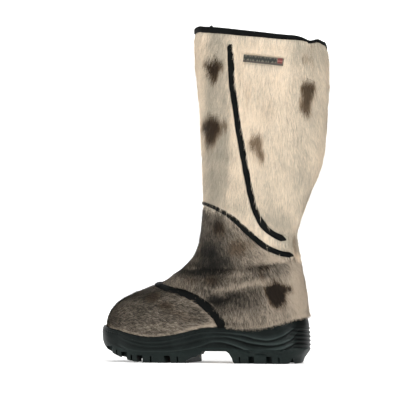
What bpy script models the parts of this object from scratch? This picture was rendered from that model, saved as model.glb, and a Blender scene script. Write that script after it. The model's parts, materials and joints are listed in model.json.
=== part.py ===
"""Sealskin boot, left foot: a tall pull-on boot on a cup sole with two flip-out ice cleats.

The toe points to -X, the heel to +X, the outer side of the foot to -Y, and +Z is up.
The tables are in millimetres, in the last's own frame: x = 0 half way along the sole, z = 0 on the floor.
"""

import math

import bmesh
import bpy
import numpy as np

MM = 0.001

# ---- driving dimensions, millimetres ------------------------------------------------------------
SOLE_LENGTH = 300.0
HALF_SOLE = SOLE_LENGTH / 2
GAP = 0.3                 # between pieces that touch
WALL = 7.0                # fur, hide and felt lining together
FUR = 3.0                 # the part of the wall that is fur, trimmed off inside the cup
BINDING_HEIGHT = 8.0
BINDING_STANDS = 0.8      # proud of the fur on both faces
LUG_DEPTH = 8.5
NOTCH_WIDTH = 5.5
INSOLE_THICKNESS = 5.0

MIDDLE = (14.0, -0.75)    # the middle of the whole boot seen from above: the part's origin

SECTION_POINTS = 24       # round one section of the upper
OUTLINE_STATIONS = 24     # along the sole
PIN_SIDES = 16
STUD_SIDES = 7
BLOCK_REACH = 210.0       # half length of the blocks that cut the forms
SIDE_REACH = 90.0         # and half their width
ABOVE = 520.0             # higher than the collar
BELOW = -20.0             # lower than the tread
CUP_TRIM = 6.0            # how far the block that trims the fur reaches past the cup
SOFT_EDGE = 50.0          # degrees: the fur's and the leather's faces are shaded smooth below this

# ---- the upper: one row for each section, toe to top --------------------------------------------
# front_x, front_z   the section's end on the instep or the shin
# back_x, back_z     its other end, under the foot or on the heel and calf
# lateral, medial    half widths; belly  how far from the front end the section is widest, 0 to 1
# front_n, back_n    how square the two ends are: 2 is an ellipse
SECTIONS = (
    # name         front_x front_z back_x back_z lateral medial belly front_n back_n
    ("tip",        -144.4, 49.0, -144.4, 47.8, 0.7, 0.7, 0.50, 2.0, 2.0),
    ("toe_1",      -143.0, 59.0, -142.6, 37.0, 15.0, 15.0, 0.50, 2.1, 2.2),
    ("toe_2",      -138.0, 70.5, -137.0, 28.0, 28.0, 29.5, 0.50, 2.2, 2.4),
    ("toe_3",      -129.5, 80.5, -127.0, 22.0, 38.0, 42.0, 0.52, 2.2, 2.7),
    ("toe_cap",    -118.0, 88.5, -112.0, 17.5, 46.0, 48.0, 0.55, 2.2, 3.0),
    ("toes",       -104.0, 95.0, -91.0, 14.5, 51.0, 50.5, 0.58, 2.2, 3.2),
    ("ball",       -89.0, 101.0, -60.0, 13.5, 52.0, 48.0, 0.60, 2.1, 3.2),
    ("vamp",       -75.0, 106.5, -22.0, 15.0, 49.5, 42.0, 0.62, 2.1, 3.2),
    ("waist",      -62.0, 113.0, 24.0, 20.0, 43.8, 36.5, 0.62, 2.1, 3.2),
    ("instep",     -49.0, 121.5, 74.0, 24.0, 39.6, 35.5, 0.60, 2.1, 3.2),
    ("seat",       -36.0, 131.0, 118.0, 26.0, 40.0, 38.0, 0.58, 2.1, 3.0),
    ("heel_turn",  -24.5, 141.5, 141.5, 40.0, 41.5, 40.5, 0.56, 2.1, 3.0),
    ("heel",       -16.5, 152.0, 146.4, 66.0, 42.0, 41.5, 0.55, 2.1, 2.6),
    ("counter",    -11.0, 164.0, 143.5, 100.0, 43.0, 42.5, 0.53, 2.1, 2.2),
    ("ankle",      -7.5, 182.0, 135.5, 140.0, 43.5, 43.5, 0.52, 2.1, 2.1),
    ("ankle_top",  -5.0, 207.0, 131.5, 178.0, 44.5, 44.5, 0.50, 2.1, 2.1),
    ("shin",       -4.0, 241.0, 144.0, 219.0, 46.5, 46.5, 0.50, 2.1, 2.1),
    ("calf_low",   -5.5, 290.0, 165.5, 271.0, 48.5, 48.5, 0.50, 2.1, 2.1),
    ("calf",       -8.5, 348.0, 173.0, 329.0, 50.5, 50.5, 0.50, 2.1, 2.1),
    ("calf_top",   -14.0, 410.0, 177.5, 388.0, 51.0, 51.0, 0.50, 2.1, 2.1),
    ("collar",     -15.5, 464.0, 176.5, 440.0, 51.0, 51.0, 0.50, 2.1, 2.1),
    ("above",      -17.0, 492.0, 175.5, 470.0, 51.0, 51.0, 0.50, 2.1, 2.1),
)

# ---- lines seen from the side: x, z ---------------------------------------------------------------
ANKLE_SEAM = ((-40, 222), (-5, 219), (25, 212), (55, 196), (78, 176), (98, 160), (118, 151),
              (134, 147), (190, 145))
TOE_SEAM = ((-125, 122), (-77, 111), (-48, 102), (-18, 94), (4, 84), (20, 72), (31, 60), (38, 48), (50, 20),
            (64, -10))
COLLAR_LINE = ((-60, 464), (-13, 462), (38, 458.5), (67, 455.8), (96, 452.9), (125, 449.7), (146, 446), (166, 441),
               (200, 428))

# ---- the sole: one row for each station along it ---------------------------------------------------
# lateral, medial  half widths before the two ends are rounded
# bottom           the tread's lowest face; parting  between outsole and cup
# floor            inside the cup; rim  the cup's top edge
SOLE = (
    # x      lateral medial bottom parting floor rim
    (-150.0, 46.0, 56.0, 28.0, 37.0, 34.0, 51.0),
    (-132.0, 50.5, 55.5, 16.5, 28.0, 30.5, 47.5),
    (-110.0, 53.5, 54.5, 7.5, 21.0, 26.5, 43.5),
    (-88.0, 54.5, 53.0, 1.5, 16.5, 23.5, 38.0),
    (-74.0, 54.5, 51.0, 0.0, 15.5, 22.5, 36.0),
    (-52.0, 53.5, 47.5, 0.0, 15.5, 22.5, 36.0),
    (-22.0, 49.5, 42.0, 0.0, 16.5, 24.0, 40.5),
    (8.0, 44.5, 37.0, 0.0, 21.5, 27.0, 47.0),
    (34.0, 41.5, 36.0, 0.0, 22.0, 30.0, 48.5),
    (68.0, 41.0, 38.5, 0.0, 19.5, 33.0, 45.5),
    (105.0, 41.0, 40.0, 0.0, 19.5, 34.5, 50.0),
    (133.0, 40.0, 39.5, 0.0, 20.5, 35.0, 57.0),
    (144.0, 39.0, 39.0, 3.5, 22.0, 35.0, 61.0),
    (150.0, 38.0, 38.0, 12.0, 24.0, 35.0, 62.5),
)
HEEL_ROUND = (108.0, 2.25)       # where the heel end starts to round, and how square it is
TOE_ROUND = (-80.0, 2.35)
ARCH_ROOF = 18.0
ARCH = ((-15, -5), (-15, 11), (-11, ARCH_ROOF), (42, ARCH_ROOF), (47, 14), (51, 7), (54, -5))

NOTCHES = (                       # x, side (-1 lateral), turn in degrees, how far in it runs
    (-122, -1, 24, 20), (-101, -1, 16, 22), (-79, -1, 9, 21), (-39, -1, -6, 21),
    (-118, 1, -26, 20), (-98, 1, -18, 22), (-77, 1, -10, 20), (-39, 1, 6, 14),
    (77, -1, 8, 11), (98, -1, 0, 9), (77, 1, -8, 9), (98, 1, 0, 8),
)

# ---- the cleats ---------------------------------------------------------------------------------------
PLATE_THICKNESS = 5.0
PLATE_CLEAR = 1.0                 # under the stored plate, down to the floor
PIN_Z = PLATE_CLEAR + PLATE_THICKNESS / 2
PIN_RADIUS = 1.5
BORE_RADIUS = 1.6
HUB_RADIUS = 3.0
STUD_RADIUS = 2.0
STUD_HEIGHT = 5.0
STUD_SOCKET = 3.0
WELL_SIDE = 1.0                   # beside and beyond the plate
STORE_DEPTH = 12.0
LANDING_DEPTH = 7.5
PLATE_RIM = 9.5                   # round the windows
PLATE_RIB = 5.0                   # half width of the middle rib
CLEATS = (
    # name, pin x, centre y, way the stored plate points, length, width,
    # windows as (from, to) out from the pin, studs as (out from the pin, across)
    ("front", -58.0, -2.5, 1, 38.0, 54.0, ((8, 16), (22, 29)),
     ((12, -22), (12, 22), (10, 0), (19, -11), (19, 11), (26, -21.5), (26, 21.5), (33.5, 0))),
    ("heel", 98.0, -0.5, -1, 34.0, 46.0, ((8, 14), (20, 25)),
     ((11, -18), (11, 18), (10, 0), (23, -17.5), (23, 17.5), (29.5, 0))),
)

# ---- small pieces ---------------------------------------------------------------------------------------
BADGE = {"x": 100.5, "z": 414.0, "length": 58.0, "height": 10.5, "turn": -6.5, "thick": 1.6}
INLAY = {"x": 20.0, "y": 0.0, "length": 29.0, "width": 19.0, "thick": 1.5}

MATERIALS = {
    # name: base colour, roughness, metallic
    "fur_foot": ((0.30, 0.25, 0.20), 0.8, 0.0),
    "fur_shaft": ((0.62, 0.56, 0.46), 0.8, 0.0),
    "binding_leather": ((0.02, 0.02, 0.02), 0.5, 0.0),
    "sole_rubber": ((0.02, 0.024, 0.024), 0.6, 0.0),
    "cup_rubber": ((0.025, 0.03, 0.03), 0.6, 0.0),
    "insole_felt": ((0.35, 0.33, 0.30), 0.95, 0.0),
    "badge_weave": ((0.35, 0.34, 0.33), 0.7, 0.0),
    "inlay_rubber": ((0.80, 0.45, 0.05), 0.5, 0.0),
    "cleat_red": ((0.60, 0.02, 0.03), 0.4, 0.0),
    "steel": ((0.6, 0.6, 0.6), 0.3, 1.0),
}


# ---- curves ---------------------------------------------------------------------------------------------
def smooth(stations, values, at):
    """A smooth curve through values at the stations, read at one or many places."""
    x = np.asarray(stations, float)
    y = np.asarray(values, float)
    slope = np.gradient(y, x, axis=0)
    at = np.clip(np.asarray(at, float), x[0], x[-1])
    k = np.clip(np.searchsorted(x, at, side="right") - 1, 0, len(x) - 2)
    h = x[k + 1] - x[k]
    t = (at - x[k]) / h
    if y.ndim > 1:
        t, h = t[..., None], h[..., None]
    rise = 3 * t**2 - 2 * t**3
    return (y[k] * (1 - rise) + y[k + 1] * rise
            + h * (slope[k] * (t - 2 * t**2 + t**3) + slope[k + 1] * (t**3 - t**2)))


def upper_point(u, v):
    """A point of the fur's surface: u counts the rows of SECTIONS, v goes round from the front."""
    rows = np.array([row[1:] for row in SECTIONS])
    at = np.moveaxis(smooth(range(len(rows)), rows, u), -1, 0)
    fx, fz, bx, bz, lateral, medial, belly, front_n, back_n = at
    cos, sin = np.cos(v), np.sin(v)
    n = np.where(cos > 0, front_n, back_n)
    reach = np.where(cos > 0, -belly, 1 - belly) * np.abs(cos) ** (2 / n) + belly
    width = np.where(sin > 0, -lateral, medial) * np.abs(sin) ** (2 / n)
    return np.stack([fx + (bx - fx) * reach, width, fz + (bz - fz) * reach], axis=-1)


def upper_rings(proud):
    """Rings of points toe to top, moved out by proud along the surface's normal (in if negative)."""
    names = [row[0] for row in SECTIONS]
    u = np.concatenate([np.arange(0, names.index("ankle"), 0.5), np.arange(names.index("ankle"), len(names))])
    v = np.linspace(0, 2 * math.pi, SECTION_POINTS, endpoint=False)
    grid_u, grid_v = np.meshgrid(u, v, indexing="ij")
    step = 1e-3
    along = upper_point(grid_u + step, grid_v) - upper_point(grid_u - step, grid_v)
    around = upper_point(grid_u, grid_v + 0.05) - upper_point(grid_u, grid_v - 0.05)
    normal = np.cross(around, along)
    normal /= np.linalg.norm(normal, axis=-1, keepdims=True)
    normal[0] = (-1, 0, 0)
    return upper_point(grid_u, grid_v) + proud * normal


def sole_at(x):
    """The sole's row at x, as a dict."""
    table = np.array(SOLE)
    names = ("lateral", "medial", "bottom", "parting", "floor", "rim")
    row = dict(zip(names, smooth(table[:, 0], table[:, 1:], x).T))
    row["bottom"] = np.maximum(row["bottom"], 0)
    return row


def sole_stations(inset=0.0):
    """Stations from heel to toe with the outline's two sides, inset from the widest outline."""
    turn = np.linspace(0, math.pi, OUTLINE_STATIONS)
    x = (HALF_SOLE - inset) * np.cos(turn)
    row = sole_at(x)
    heel, heel_n = HEEL_ROUND
    toe, toe_n = TOE_ROUND
    end = HALF_SOLE - inset
    past_heel = np.clip((x - heel) / (end - heel), 0, 1)
    past_toe = np.clip((toe - x) / (toe + end), 0, 1)
    ends = (1 - past_heel**heel_n) ** (1 / heel_n) * (1 - past_toe**toe_n) ** (1 / toe_n)
    return x, -(row["lateral"] - inset) * ends, (row["medial"] - inset) * ends


# ---- making objects ----------------------------------------------------------------------------------------
def material(name):
    found = bpy.data.materials.get(name)
    if found:
        return found
    colour, roughness, metallic = MATERIALS[name]
    made = bpy.data.materials.new(name)
    made.use_nodes = True
    shader = made.node_tree.nodes["Principled BSDF"]
    shader.inputs["Base Color"].default_value = (*colour, 1)
    shader.inputs["Roughness"].default_value = roughness
    shader.inputs["Metallic"].default_value = metallic
    made.diffuse_color = (*colour, 1)
    return made


def solid(name, points, faces, finish=None, smooth_angle=None):
    """An object from points in millimetres. Without a finish it is a cutter."""
    mesh = bpy.data.meshes.new(name)
    mesh.from_pydata([tuple(float(c) * MM for c in p) for p in points], [], faces)
    shape = bmesh.new()
    shape.from_mesh(mesh)
    bmesh.ops.remove_doubles(shape, verts=shape.verts, dist=1e-6)
    bmesh.ops.recalc_face_normals(shape, faces=shape.faces)
    bmesh.ops.triangulate(shape, faces=[f for f in shape.faces if len(f.verts) == 4])
    shape.to_mesh(mesh)
    shape.free()
    made = bpy.data.objects.new(name, mesh)
    bpy.context.collection.objects.link(made)
    if finish:
        mesh.materials.append(material(finish))
        made.parent = bpy.data.objects["boot"]
        if smooth_angle:
            mesh.shade_smooth()
            mesh.set_sharp_from_angle(angle=math.radians(smooth_angle))
    else:
        made.hide_render = True
        made.display_type = "WIRE"
        made.parent = bpy.data.objects["boot"]
    return made


def shape_by(target, tool, operation="DIFFERENCE"):
    step = target.modifiers.new(tool.name, "BOOLEAN")
    step.operation = operation
    step.solver = "EXACT"
    step.object = tool


def tube_faces(rings, around):
    """Faces of a closed tube through rings of points, with a flat cap at each end."""
    faces = []
    for i in range(rings - 1):
        for j in range(around):
            k = (j + 1) % around
            faces.append((i * around + j, i * around + k, (i + 1) * around + k, (i + 1) * around + j))
    faces.append(tuple(range(around)))
    faces.append(tuple((rings - 1) * around + j for j in range(around)))
    return faces


def boot_form(name, proud, finish=None):
    """The whole boot as one closed form, proud of the fur's surface."""
    rings = upper_rings(proud)
    return solid(name, rings.reshape(-1, 3), tube_faces(*rings.shape[:2]), finish, SOFT_EDGE)


def side_block(name, line, far_z, shift=0.0):
    """A block across the boot between a line seen from the side, moved up by shift, and far_z."""
    table = np.array(line, float)
    x = np.linspace(table[0, 0], table[-1, 0], 3 * len(line))
    x = np.concatenate([[-BLOCK_REACH], x, [BLOCK_REACH]])
    z = smooth(table[:, 0], table[:, 1], x) + shift
    profile = list(zip(x, z)) + [(BLOCK_REACH, far_z), (-BLOCK_REACH, far_z)]
    return prism(name, profile)


def prism(name, profile, low_y=-SIDE_REACH, high_y=SIDE_REACH, finish=None):
    """A closed outline in x and z, extruded across the boot."""
    n = len(profile)
    points = [(x, y, z) for y in (low_y, high_y) for x, z in profile]
    faces = [(i, (i + 1) % n, (i + 1) % n + n, i + n) for i in range(n)]
    faces += [tuple(range(n)), tuple(range(n, 2 * n))]
    return solid(name, points, faces, finish)


def upright(name, outline, low_z, high_z, finish=None):
    """A closed outline in x and y, extruded upwards."""
    n = len(outline)
    points = [(x, y, z) for z in (low_z, high_z) for x, y in outline]
    faces = [(i, (i + 1) % n, (i + 1) % n + n, i + n) for i in range(n)]
    faces += [tuple(range(n)), tuple(range(n, 2 * n))]
    return solid(name, points, faces, finish)


def sole_layer(name, levels, finish=None):
    """A closed layer of the sole. Each level gives how far it is inset and its height at a station."""
    points = []
    for inset, height in levels:
        x, lateral, medial = sole_stations(inset)
        z = height(sole_at(x))
        points += list(zip(x, lateral, z))
        points += list(zip(x, medial, z))
    n = OUTLINE_STATIONS
    faces = []
    for level in range(len(levels) - 1):
        low, high = level * 2 * n, (level + 1) * 2 * n
        for side in (0, n):
            for k in range(n - 1):
                a, b = side + k, side + k + 1
                faces.append((low + a, low + b, high + b, high + a))
    for base in (0, (len(levels) - 1) * 2 * n):
        for k in range(n - 1):
            faces.append((base + k, base + k + 1, base + n + k + 1, base + n + k))
    return solid(name, points, faces, finish)


def floor_line():
    return [(row[0], row[5]) for row in SOLE]


def round_y(name, x, y, z, radius, length, finish=None):
    """A round bar along Y."""
    ring = [(x + radius * math.cos(a), z + radius * math.sin(a))
            for a in (2 * math.pi * k / PIN_SIDES for k in range(PIN_SIDES))]
    return prism(name, ring, y - length / 2, y + length / 2, finish)


# ---- the pieces -------------------------------------------------------------------------------------------
def make_foot(name, inside):
    """A piece of the foot: fur outside, thinner where it stands in the cup, open underneath."""
    piece = boot_form(name, 0.0, "fur_foot")
    shape_by(piece, sole_layer(f"cup_round_{name}", (
        (-CUP_TRIM, lambda row: row["parting"] - CUP_TRIM),
        (-CUP_TRIM, lambda row: row["rim"] + GAP),
    )))
    shape_by(piece, boot_form(f"{name}_in_cup", -FUR), "UNION")
    shape_by(piece, inside)
    shape_by(piece, side_block(f"under_{name}", floor_line(), BELOW, GAP))
    return piece


def make_upper(inside):
    """The quarters and the instep, from the toe cap's seam up to the ankle's."""
    upper = make_foot("upper", inside)
    shape_by(upper, side_block("above_ankle_seam", ANKLE_SEAM, ABOVE))
    shape_by(upper, side_block("below_toe_seam", TOE_SEAM, BELOW, GAP))


def make_toe_cap(inside):
    """The front of the foot, below the seam that runs from the instep down to the cup."""
    toe_cap = make_foot("toe_cap", inside)
    shape_by(toe_cap, side_block("above_toe_seam", TOE_SEAM, ABOVE))


def make_shaft(inside):
    shaft = boot_form("shaft", 0.0, "fur_shaft")
    shape_by(shaft, inside)
    shape_by(shaft, side_block("below_ankle_seam", ANKLE_SEAM, BELOW, GAP))
    shape_by(shaft, side_block("above_shaft", COLLAR_LINE, ABOVE, -BINDING_HEIGHT))


def make_binding():
    """The strip folded over the top edge, as one ring a little proud of the wall on both faces."""
    binding = boot_form("collar_binding", BINDING_STANDS, "binding_leather")
    shape_by(binding, boot_form("form_in_binding", -WALL - BINDING_STANDS))
    shape_by(binding, side_block("below_binding", COLLAR_LINE, BELOW, GAP - BINDING_HEIGHT))
    shape_by(binding, side_block("above_binding", COLLAR_LINE, ABOVE))


def make_midsole():
    """The cup: a rim that wraps the foot of the upper, on a floor."""
    midsole = sole_layer("midsole", (
        (0.3, lambda row: row["parting"] + GAP),
        (0.0, lambda row: row["parting"] * 0.6 + row["rim"] * 0.4),
        (0.8, lambda row: row["parting"] * 0.25 + row["rim"] * 0.75),
        (2.2, lambda row: row["rim"] - 1.2),
        (3.4, lambda row: row["rim"]),
    ), "cup_rubber")
    cup_inside = boot_form("cup_inside", GAP - FUR)
    shape_by(cup_inside, side_block("below_cup_floor", floor_line(), BELOW))
    shape_by(midsole, cup_inside)


def make_insole():
    insole = boot_form("insole", -WALL - GAP, "insole_felt")
    shape_by(insole, side_block("above_insole", floor_line(), ABOVE, GAP + INSOLE_THICKNESS))
    shape_by(insole, side_block("below_insole", floor_line(), BELOW, GAP))


def make_outsole():
    """Tread rubber with edge lugs, an arch, a heel and the two wells."""
    outsole = sole_layer("outsole", (
        (4.0, lambda row: row["bottom"]),
        (1.6, lambda row: row["bottom"] + 3.0),
        (0.5, lambda row: row["bottom"] * 0.4 + row["parting"] * 0.6),
        (0.3, lambda row: row["parting"]),
    ), "sole_rubber")
    shape_by(outsole, prism("arch_cut", ARCH))
    for index, (x, side, turn, reach) in enumerate(NOTCHES):
        row = {key: float(value) for key, value in sole_at(x).items()}
        edge = -row["lateral"] if side < 0 else row["medial"]
        cut = notch(f"notch_{index}", x, edge, side, turn, reach, row["bottom"])
        shape_by(outsole, cut)
    return outsole


def notch(name, x, edge, side, turn, reach, bottom):
    """A slot between two edge lugs, rounded at its inner end, open to the side and below."""
    half = NOTCH_WIDTH / 2
    outline = [(half, side * 30.0), (-half, side * 30.0)]
    for k in range(7):
        angle = math.pi * k / 6
        outline.append((-half * math.cos(angle), -side * (reach + half * math.sin(angle))))
    return upright(name, placed(outline, turn, x, edge), -12.0, bottom + LUG_DEPTH)


def placed(outline, degrees, x, y):
    """An outline turned about its own origin, then moved to x, y."""
    cos, sin = math.cos(math.radians(degrees)), math.sin(math.radians(degrees))
    return [(x + px * cos - py * sin, y + px * sin + py * cos) for px, py in outline]


def make_cleat(outsole, name, pin_x, y, way, length, width, windows, studs):
    """A plate on a pin across its well, with its studs, and the well cut from the outsole."""
    half = width / 2
    reach = length + WELL_SIDE
    store = upright(f"store_{name}", box_outline(pin_x - way * 5.0, pin_x + way * reach, y, half + WELL_SIDE),
                    -20, STORE_DEPTH)
    landing = upright(f"landing_{name}", box_outline(pin_x + way * 4.0, pin_x - way * reach, y, half + WELL_SIDE),
                      -20, LANDING_DEPTH)
    shape_by(outsole, store)
    shape_by(outsole, landing)
    pin_length = width + 2 * WELL_SIDE + 10.0
    shape_by(outsole, round_y(f"pin_seat_{name}", pin_x, y, PIN_Z, PIN_RADIUS + GAP, pin_length + 2 * GAP))

    plate = upright(f"cleat_plate_{name}", plate_outline(pin_x, y, way, length, half), PLATE_CLEAR,
                    PLATE_CLEAR + PLATE_THICKNESS, "cleat_red")
    shape_by(plate, round_y(f"hub_{name}", pin_x, y, PIN_Z, HUB_RADIUS, width - 0.4), "UNION")
    shape_by(plate, round_y(f"bore_{name}", pin_x, y, PIN_Z, BORE_RADIUS, width + 10))
    across = (PLATE_RIB + half - PLATE_RIM) / 2
    for side in (-1, 1):
        for index, (near, far) in enumerate(windows):
            window = box_outline(pin_x + way * near, pin_x + way * far, y + side * across, across - PLATE_RIB)
            shape_by(plate, upright(f"window_{name}_{side}_{index}", window, -5, 15))
    for index, (r, across) in enumerate(studs):
        place = (pin_x + way * r, y + across)
        top = PLATE_CLEAR + PLATE_THICKNESS
        seat = turned(f"stud_seat_{name}_{index}", place, ((STUD_RADIUS + GAP, top - STUD_SOCKET),
                                                           (STUD_RADIUS + GAP, top + 5)))
        shape_by(plate, seat)
        base = top - STUD_SOCKET + GAP
        turned(f"stud_{name}_{index + 1}", place, (
            (STUD_RADIUS, base), (STUD_RADIUS, top + STUD_HEIGHT * 0.55), (0.9, top + STUD_HEIGHT)), "steel")
    round_y(f"hinge_pin_{name}", pin_x, y, PIN_Z, PIN_RADIUS, pin_length, finish="steel")


def box_outline(x0, x1, y, half):
    return [(x0, y - half), (x1, y - half), (x1, y + half), (x0, y + half)]


def plate_outline(pin_x, y, way, length, half):
    """Straight at the pin, with the free end rounded."""
    corner = 14.0
    points = [(0.0, -half)]
    for centre, start in ((-half + corner, -90), (half - corner, 0)):
        for k in range(7):
            angle = math.radians(start + 15 * k)
            points.append((length - corner + corner * math.cos(angle), centre + corner * math.sin(angle)))
    points.append((0.0, half))
    return [(pin_x + way * px, y + py) for px, py in points]


def turned(name, place, profile, finish=None):
    """A round piece about a vertical axis. The profile is radius, height, from below."""
    points = []
    for radius, z in profile:
        for k in range(STUD_SIDES):
            angle = 2 * math.pi * k / STUD_SIDES
            points.append((place[0] + radius * math.cos(angle), place[1] + radius * math.sin(angle), z))
    return solid(name, points, tube_faces(len(profile), STUD_SIDES), finish)


def make_badge():
    """A plain woven tab that lies on the outer side of the shaft."""
    badge = boot_form("badge", GAP + BADGE["thick"], "badge_weave")
    shape_by(badge, boot_form("form_under_badge", GAP))
    corners = box_outline(-BADGE["length"] / 2, BADGE["length"] / 2, 0.0, BADGE["height"] / 2)
    outline = placed(corners, BADGE["turn"], BADGE["x"], BADGE["z"])
    shape_by(badge, prism("badge_edge", outline, -SIDE_REACH, 0.0), "INTERSECT")


def make_inlay():
    """A plain oval inlay under the waist."""
    top = ARCH_ROOF - GAP
    outline = [(INLAY["x"] + INLAY["length"] / 2 * math.cos(a), INLAY["y"] + INLAY["width"] / 2 * math.sin(a))
               for a in (2 * math.pi * k / 28 for k in range(28))]
    upright("arch_inlay", outline, top - INLAY["thick"], top, "inlay_rubber")


def main():
    for old in list(bpy.data.objects):
        bpy.data.objects.remove(old)
    boot = bpy.data.objects.new("boot", None)
    boot.location = (-MIDDLE[0] * MM, -MIDDLE[1] * MM, 0)
    bpy.context.collection.objects.link(boot)
    inside = boot_form("form_inside", -WALL)
    make_toe_cap(inside)
    make_upper(inside)
    make_shaft(inside)
    make_binding()
    make_midsole()
    make_insole()
    outsole = make_outsole()
    for cleat in CLEATS:
        make_cleat(outsole, *cleat)
    make_badge()
    make_inlay()


main()
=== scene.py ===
"""The finish of the sealskin boot: hair, piping, binding, badge, cup, tread and cleats, and the stage.

It works around the packed CAD model. Lengths in tables are millimetres in the last's own frame, as in the
part's source: x = 0 half way along the sole, z = 0 on the floor, the toe to -X and the outer side to -Y.
"""

import itertools
import json
import math
from collections import namedtuple

import bpy
import numpy as np
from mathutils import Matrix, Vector
from mathutils.kdtree import KDTree

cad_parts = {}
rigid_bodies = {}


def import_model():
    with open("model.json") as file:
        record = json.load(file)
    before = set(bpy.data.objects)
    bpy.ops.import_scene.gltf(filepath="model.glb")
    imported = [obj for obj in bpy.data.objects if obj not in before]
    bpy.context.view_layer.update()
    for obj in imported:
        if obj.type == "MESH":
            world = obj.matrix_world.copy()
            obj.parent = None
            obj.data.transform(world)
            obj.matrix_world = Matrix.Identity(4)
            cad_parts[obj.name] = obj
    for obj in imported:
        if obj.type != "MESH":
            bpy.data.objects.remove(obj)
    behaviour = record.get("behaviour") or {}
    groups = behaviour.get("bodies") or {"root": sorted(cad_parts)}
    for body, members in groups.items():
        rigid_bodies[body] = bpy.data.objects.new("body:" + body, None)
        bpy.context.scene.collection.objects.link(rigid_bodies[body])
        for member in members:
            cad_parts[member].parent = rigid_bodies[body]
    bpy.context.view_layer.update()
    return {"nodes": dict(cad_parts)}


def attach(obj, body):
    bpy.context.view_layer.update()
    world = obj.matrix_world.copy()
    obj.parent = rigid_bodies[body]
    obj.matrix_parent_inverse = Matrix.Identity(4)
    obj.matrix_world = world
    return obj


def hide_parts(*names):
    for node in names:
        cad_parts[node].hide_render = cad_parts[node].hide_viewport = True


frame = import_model()

bl_info = {
    "name": "Sealskin Boot Finish",
    "version": (1, 0, 0),
    "blender": (4, 5, 0),
    "location": "3D View > Sidebar > Boot",
    "description": "Hide, hair, piping, binding, sole and cleats of a tall sealskin boot",
    "category": "Object",
}

MM = 0.001
LAST_TO_ROW = np.array((-14.0, 0.75, 0.0))   # the last's own frame to the model's, millimetres
HALF_SOLE = 150.0
SEED = 20

# ---- fineness ----
ROWS_A_SECTION = 12
AROUND = 200                      # columns round the coat
CUP_AROUND = 420                  # points in a ring
TREAD_AROUND = 300
STRIP_STEP = 1.2                  # along a leather strip

# ---- the last: one row for each section of the upper, toe to top ----
SECTIONS = (
    # front_x front_z back_x back_z lateral medial belly front_n back_n
    (-144.4, 49, -144.4, 47.8, 0.7, 0.7, 0.50, 2.0, 2.0),
    (-143, 59, -142.6, 37, 15, 15, 0.50, 2.1, 2.2),
    (-138, 70.5, -137, 28, 28, 29.5, 0.50, 2.2, 2.4),
    (-129.5, 80.5, -127, 22, 38, 42, 0.52, 2.2, 2.7),
    (-118, 88.5, -112, 17.5, 46, 48, 0.55, 2.2, 3.0),
    (-104, 95, -91, 14.5, 51, 50.5, 0.58, 2.2, 3.2),
    (-89, 101, -60, 13.5, 52, 48, 0.60, 2.1, 3.2),
    (-75, 106.5, -22, 15, 49.5, 42, 0.62, 2.1, 3.2),
    (-62, 113, 24, 20, 43.8, 36.5, 0.62, 2.1, 3.2),
    (-49, 121.5, 74, 24, 39.6, 35.5, 0.60, 2.1, 3.2),
    (-36, 131, 118, 26, 40, 38, 0.58, 2.1, 3.0),
    (-24.5, 141.5, 141.5, 40, 41.5, 40.5, 0.56, 2.1, 3.0),
    (-16.5, 152, 146.4, 66, 42, 41.5, 0.55, 2.1, 2.6),
    (-11, 164, 143.5, 100, 43, 42.5, 0.53, 2.1, 2.2),
    (-7.5, 182, 135.5, 140, 43.5, 43.5, 0.52, 2.1, 2.1),
    (-5, 207, 131.5, 178, 44.5, 44.5, 0.50, 2.1, 2.1),
    (-4, 241, 144, 219, 46.5, 46.5, 0.50, 2.1, 2.1),
    (-5.5, 290, 165.5, 271, 48.5, 48.5, 0.50, 2.1, 2.1),
    (-8.5, 348, 173, 329, 50.5, 50.5, 0.50, 2.1, 2.1),
    (-15, 410, 176.4, 388, 51, 51, 0.50, 2.1, 2.1),
    (-16.8, 464, 173.2, 440, 51, 51, 0.50, 2.1, 2.1),
    (-18, 492, 170.5, 470, 51, 51, 0.50, 2.1, 2.1),
)

# ---- the sole: one row for each station along it ----
SOLE = (
    # x  lateral medial bottom parting rim
    (-150, 46, 56, 28, 37, 51),
    (-132, 50.5, 55.5, 16.5, 28, 47.5),
    (-110, 53.5, 54.5, 7.5, 21, 43.5),
    (-88, 54.5, 53, 1.5, 16.5, 38),
    (-74, 54.5, 51, 0, 15.5, 36),
    (-52, 53.5, 47.5, 0, 15.5, 36),
    (-22, 49.5, 42, 0, 16.5, 40.5),
    (8, 44.5, 37, 0, 21.5, 48.4),
    (34, 41.5, 36, 0, 22, 49.4),
    (68, 41, 38.5, 0, 19.5, 47.4),
    (105, 41, 40, 0, 19.5, 50.8),
    (133, 40, 39.5, 0, 20.5, 60.2),
    (144, 39, 39, 3.5, 22, 63.6),
    (150, 38, 38, 12, 24, 65),
)
RIM_LINE = [(row[0], row[5]) for row in SOLE]
HEEL_ROUND = (108.0, 2.25)        # where the heel end starts to round, and how square it is
TOE_ROUND = (-80.0, 2.35)

# ---- seams, seen from the side: x, z ----
ANKLE_SEAM = ((-40, 222), (-5, 219), (25, 212), (55, 196), (78, 176), (98, 160), (118, 151),
              (134, 147), (190, 145))
TOE_SEAM = ((-125, 122), (-77, 111), (-48, 102), (-18, 94), (4, 84), (20, 72), (31, 60), (38, 48),
            (50, 20), (64, -10))
COLLAR_LINE = ((-60, 457), (-15.5, 458.6), (-10, 459.6), (-2, 460.7), (6, 459.8), (15, 459.2),
               (38, 457.1), (67, 453.6), (96, 450.2), (125, 446.8), (134, 446), (142, 445.3),
               (150, 443.2), (155, 440.8), (159, 438.8), (162.5, 439), (165.7, 440.3), (169, 440.7),
               (172.5, 438.2), (176, 435.2), (200, 424))
SHAFT_SEAM = ((51.5, 434), (51.9, 422), (52.6, 405), (54.2, 383), (57, 364), (61.2, 336),
              (64.9, 312), (69.5, 286), (75.2, 256), (80.8, 228), (87, 206), (94.2, 191),
              (103.4, 180.5), (112.8, 174), (124, 168.5))
BACK_OPEN = 12.0                  # the ankle's strip stops this far either side of the back seam

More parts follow.
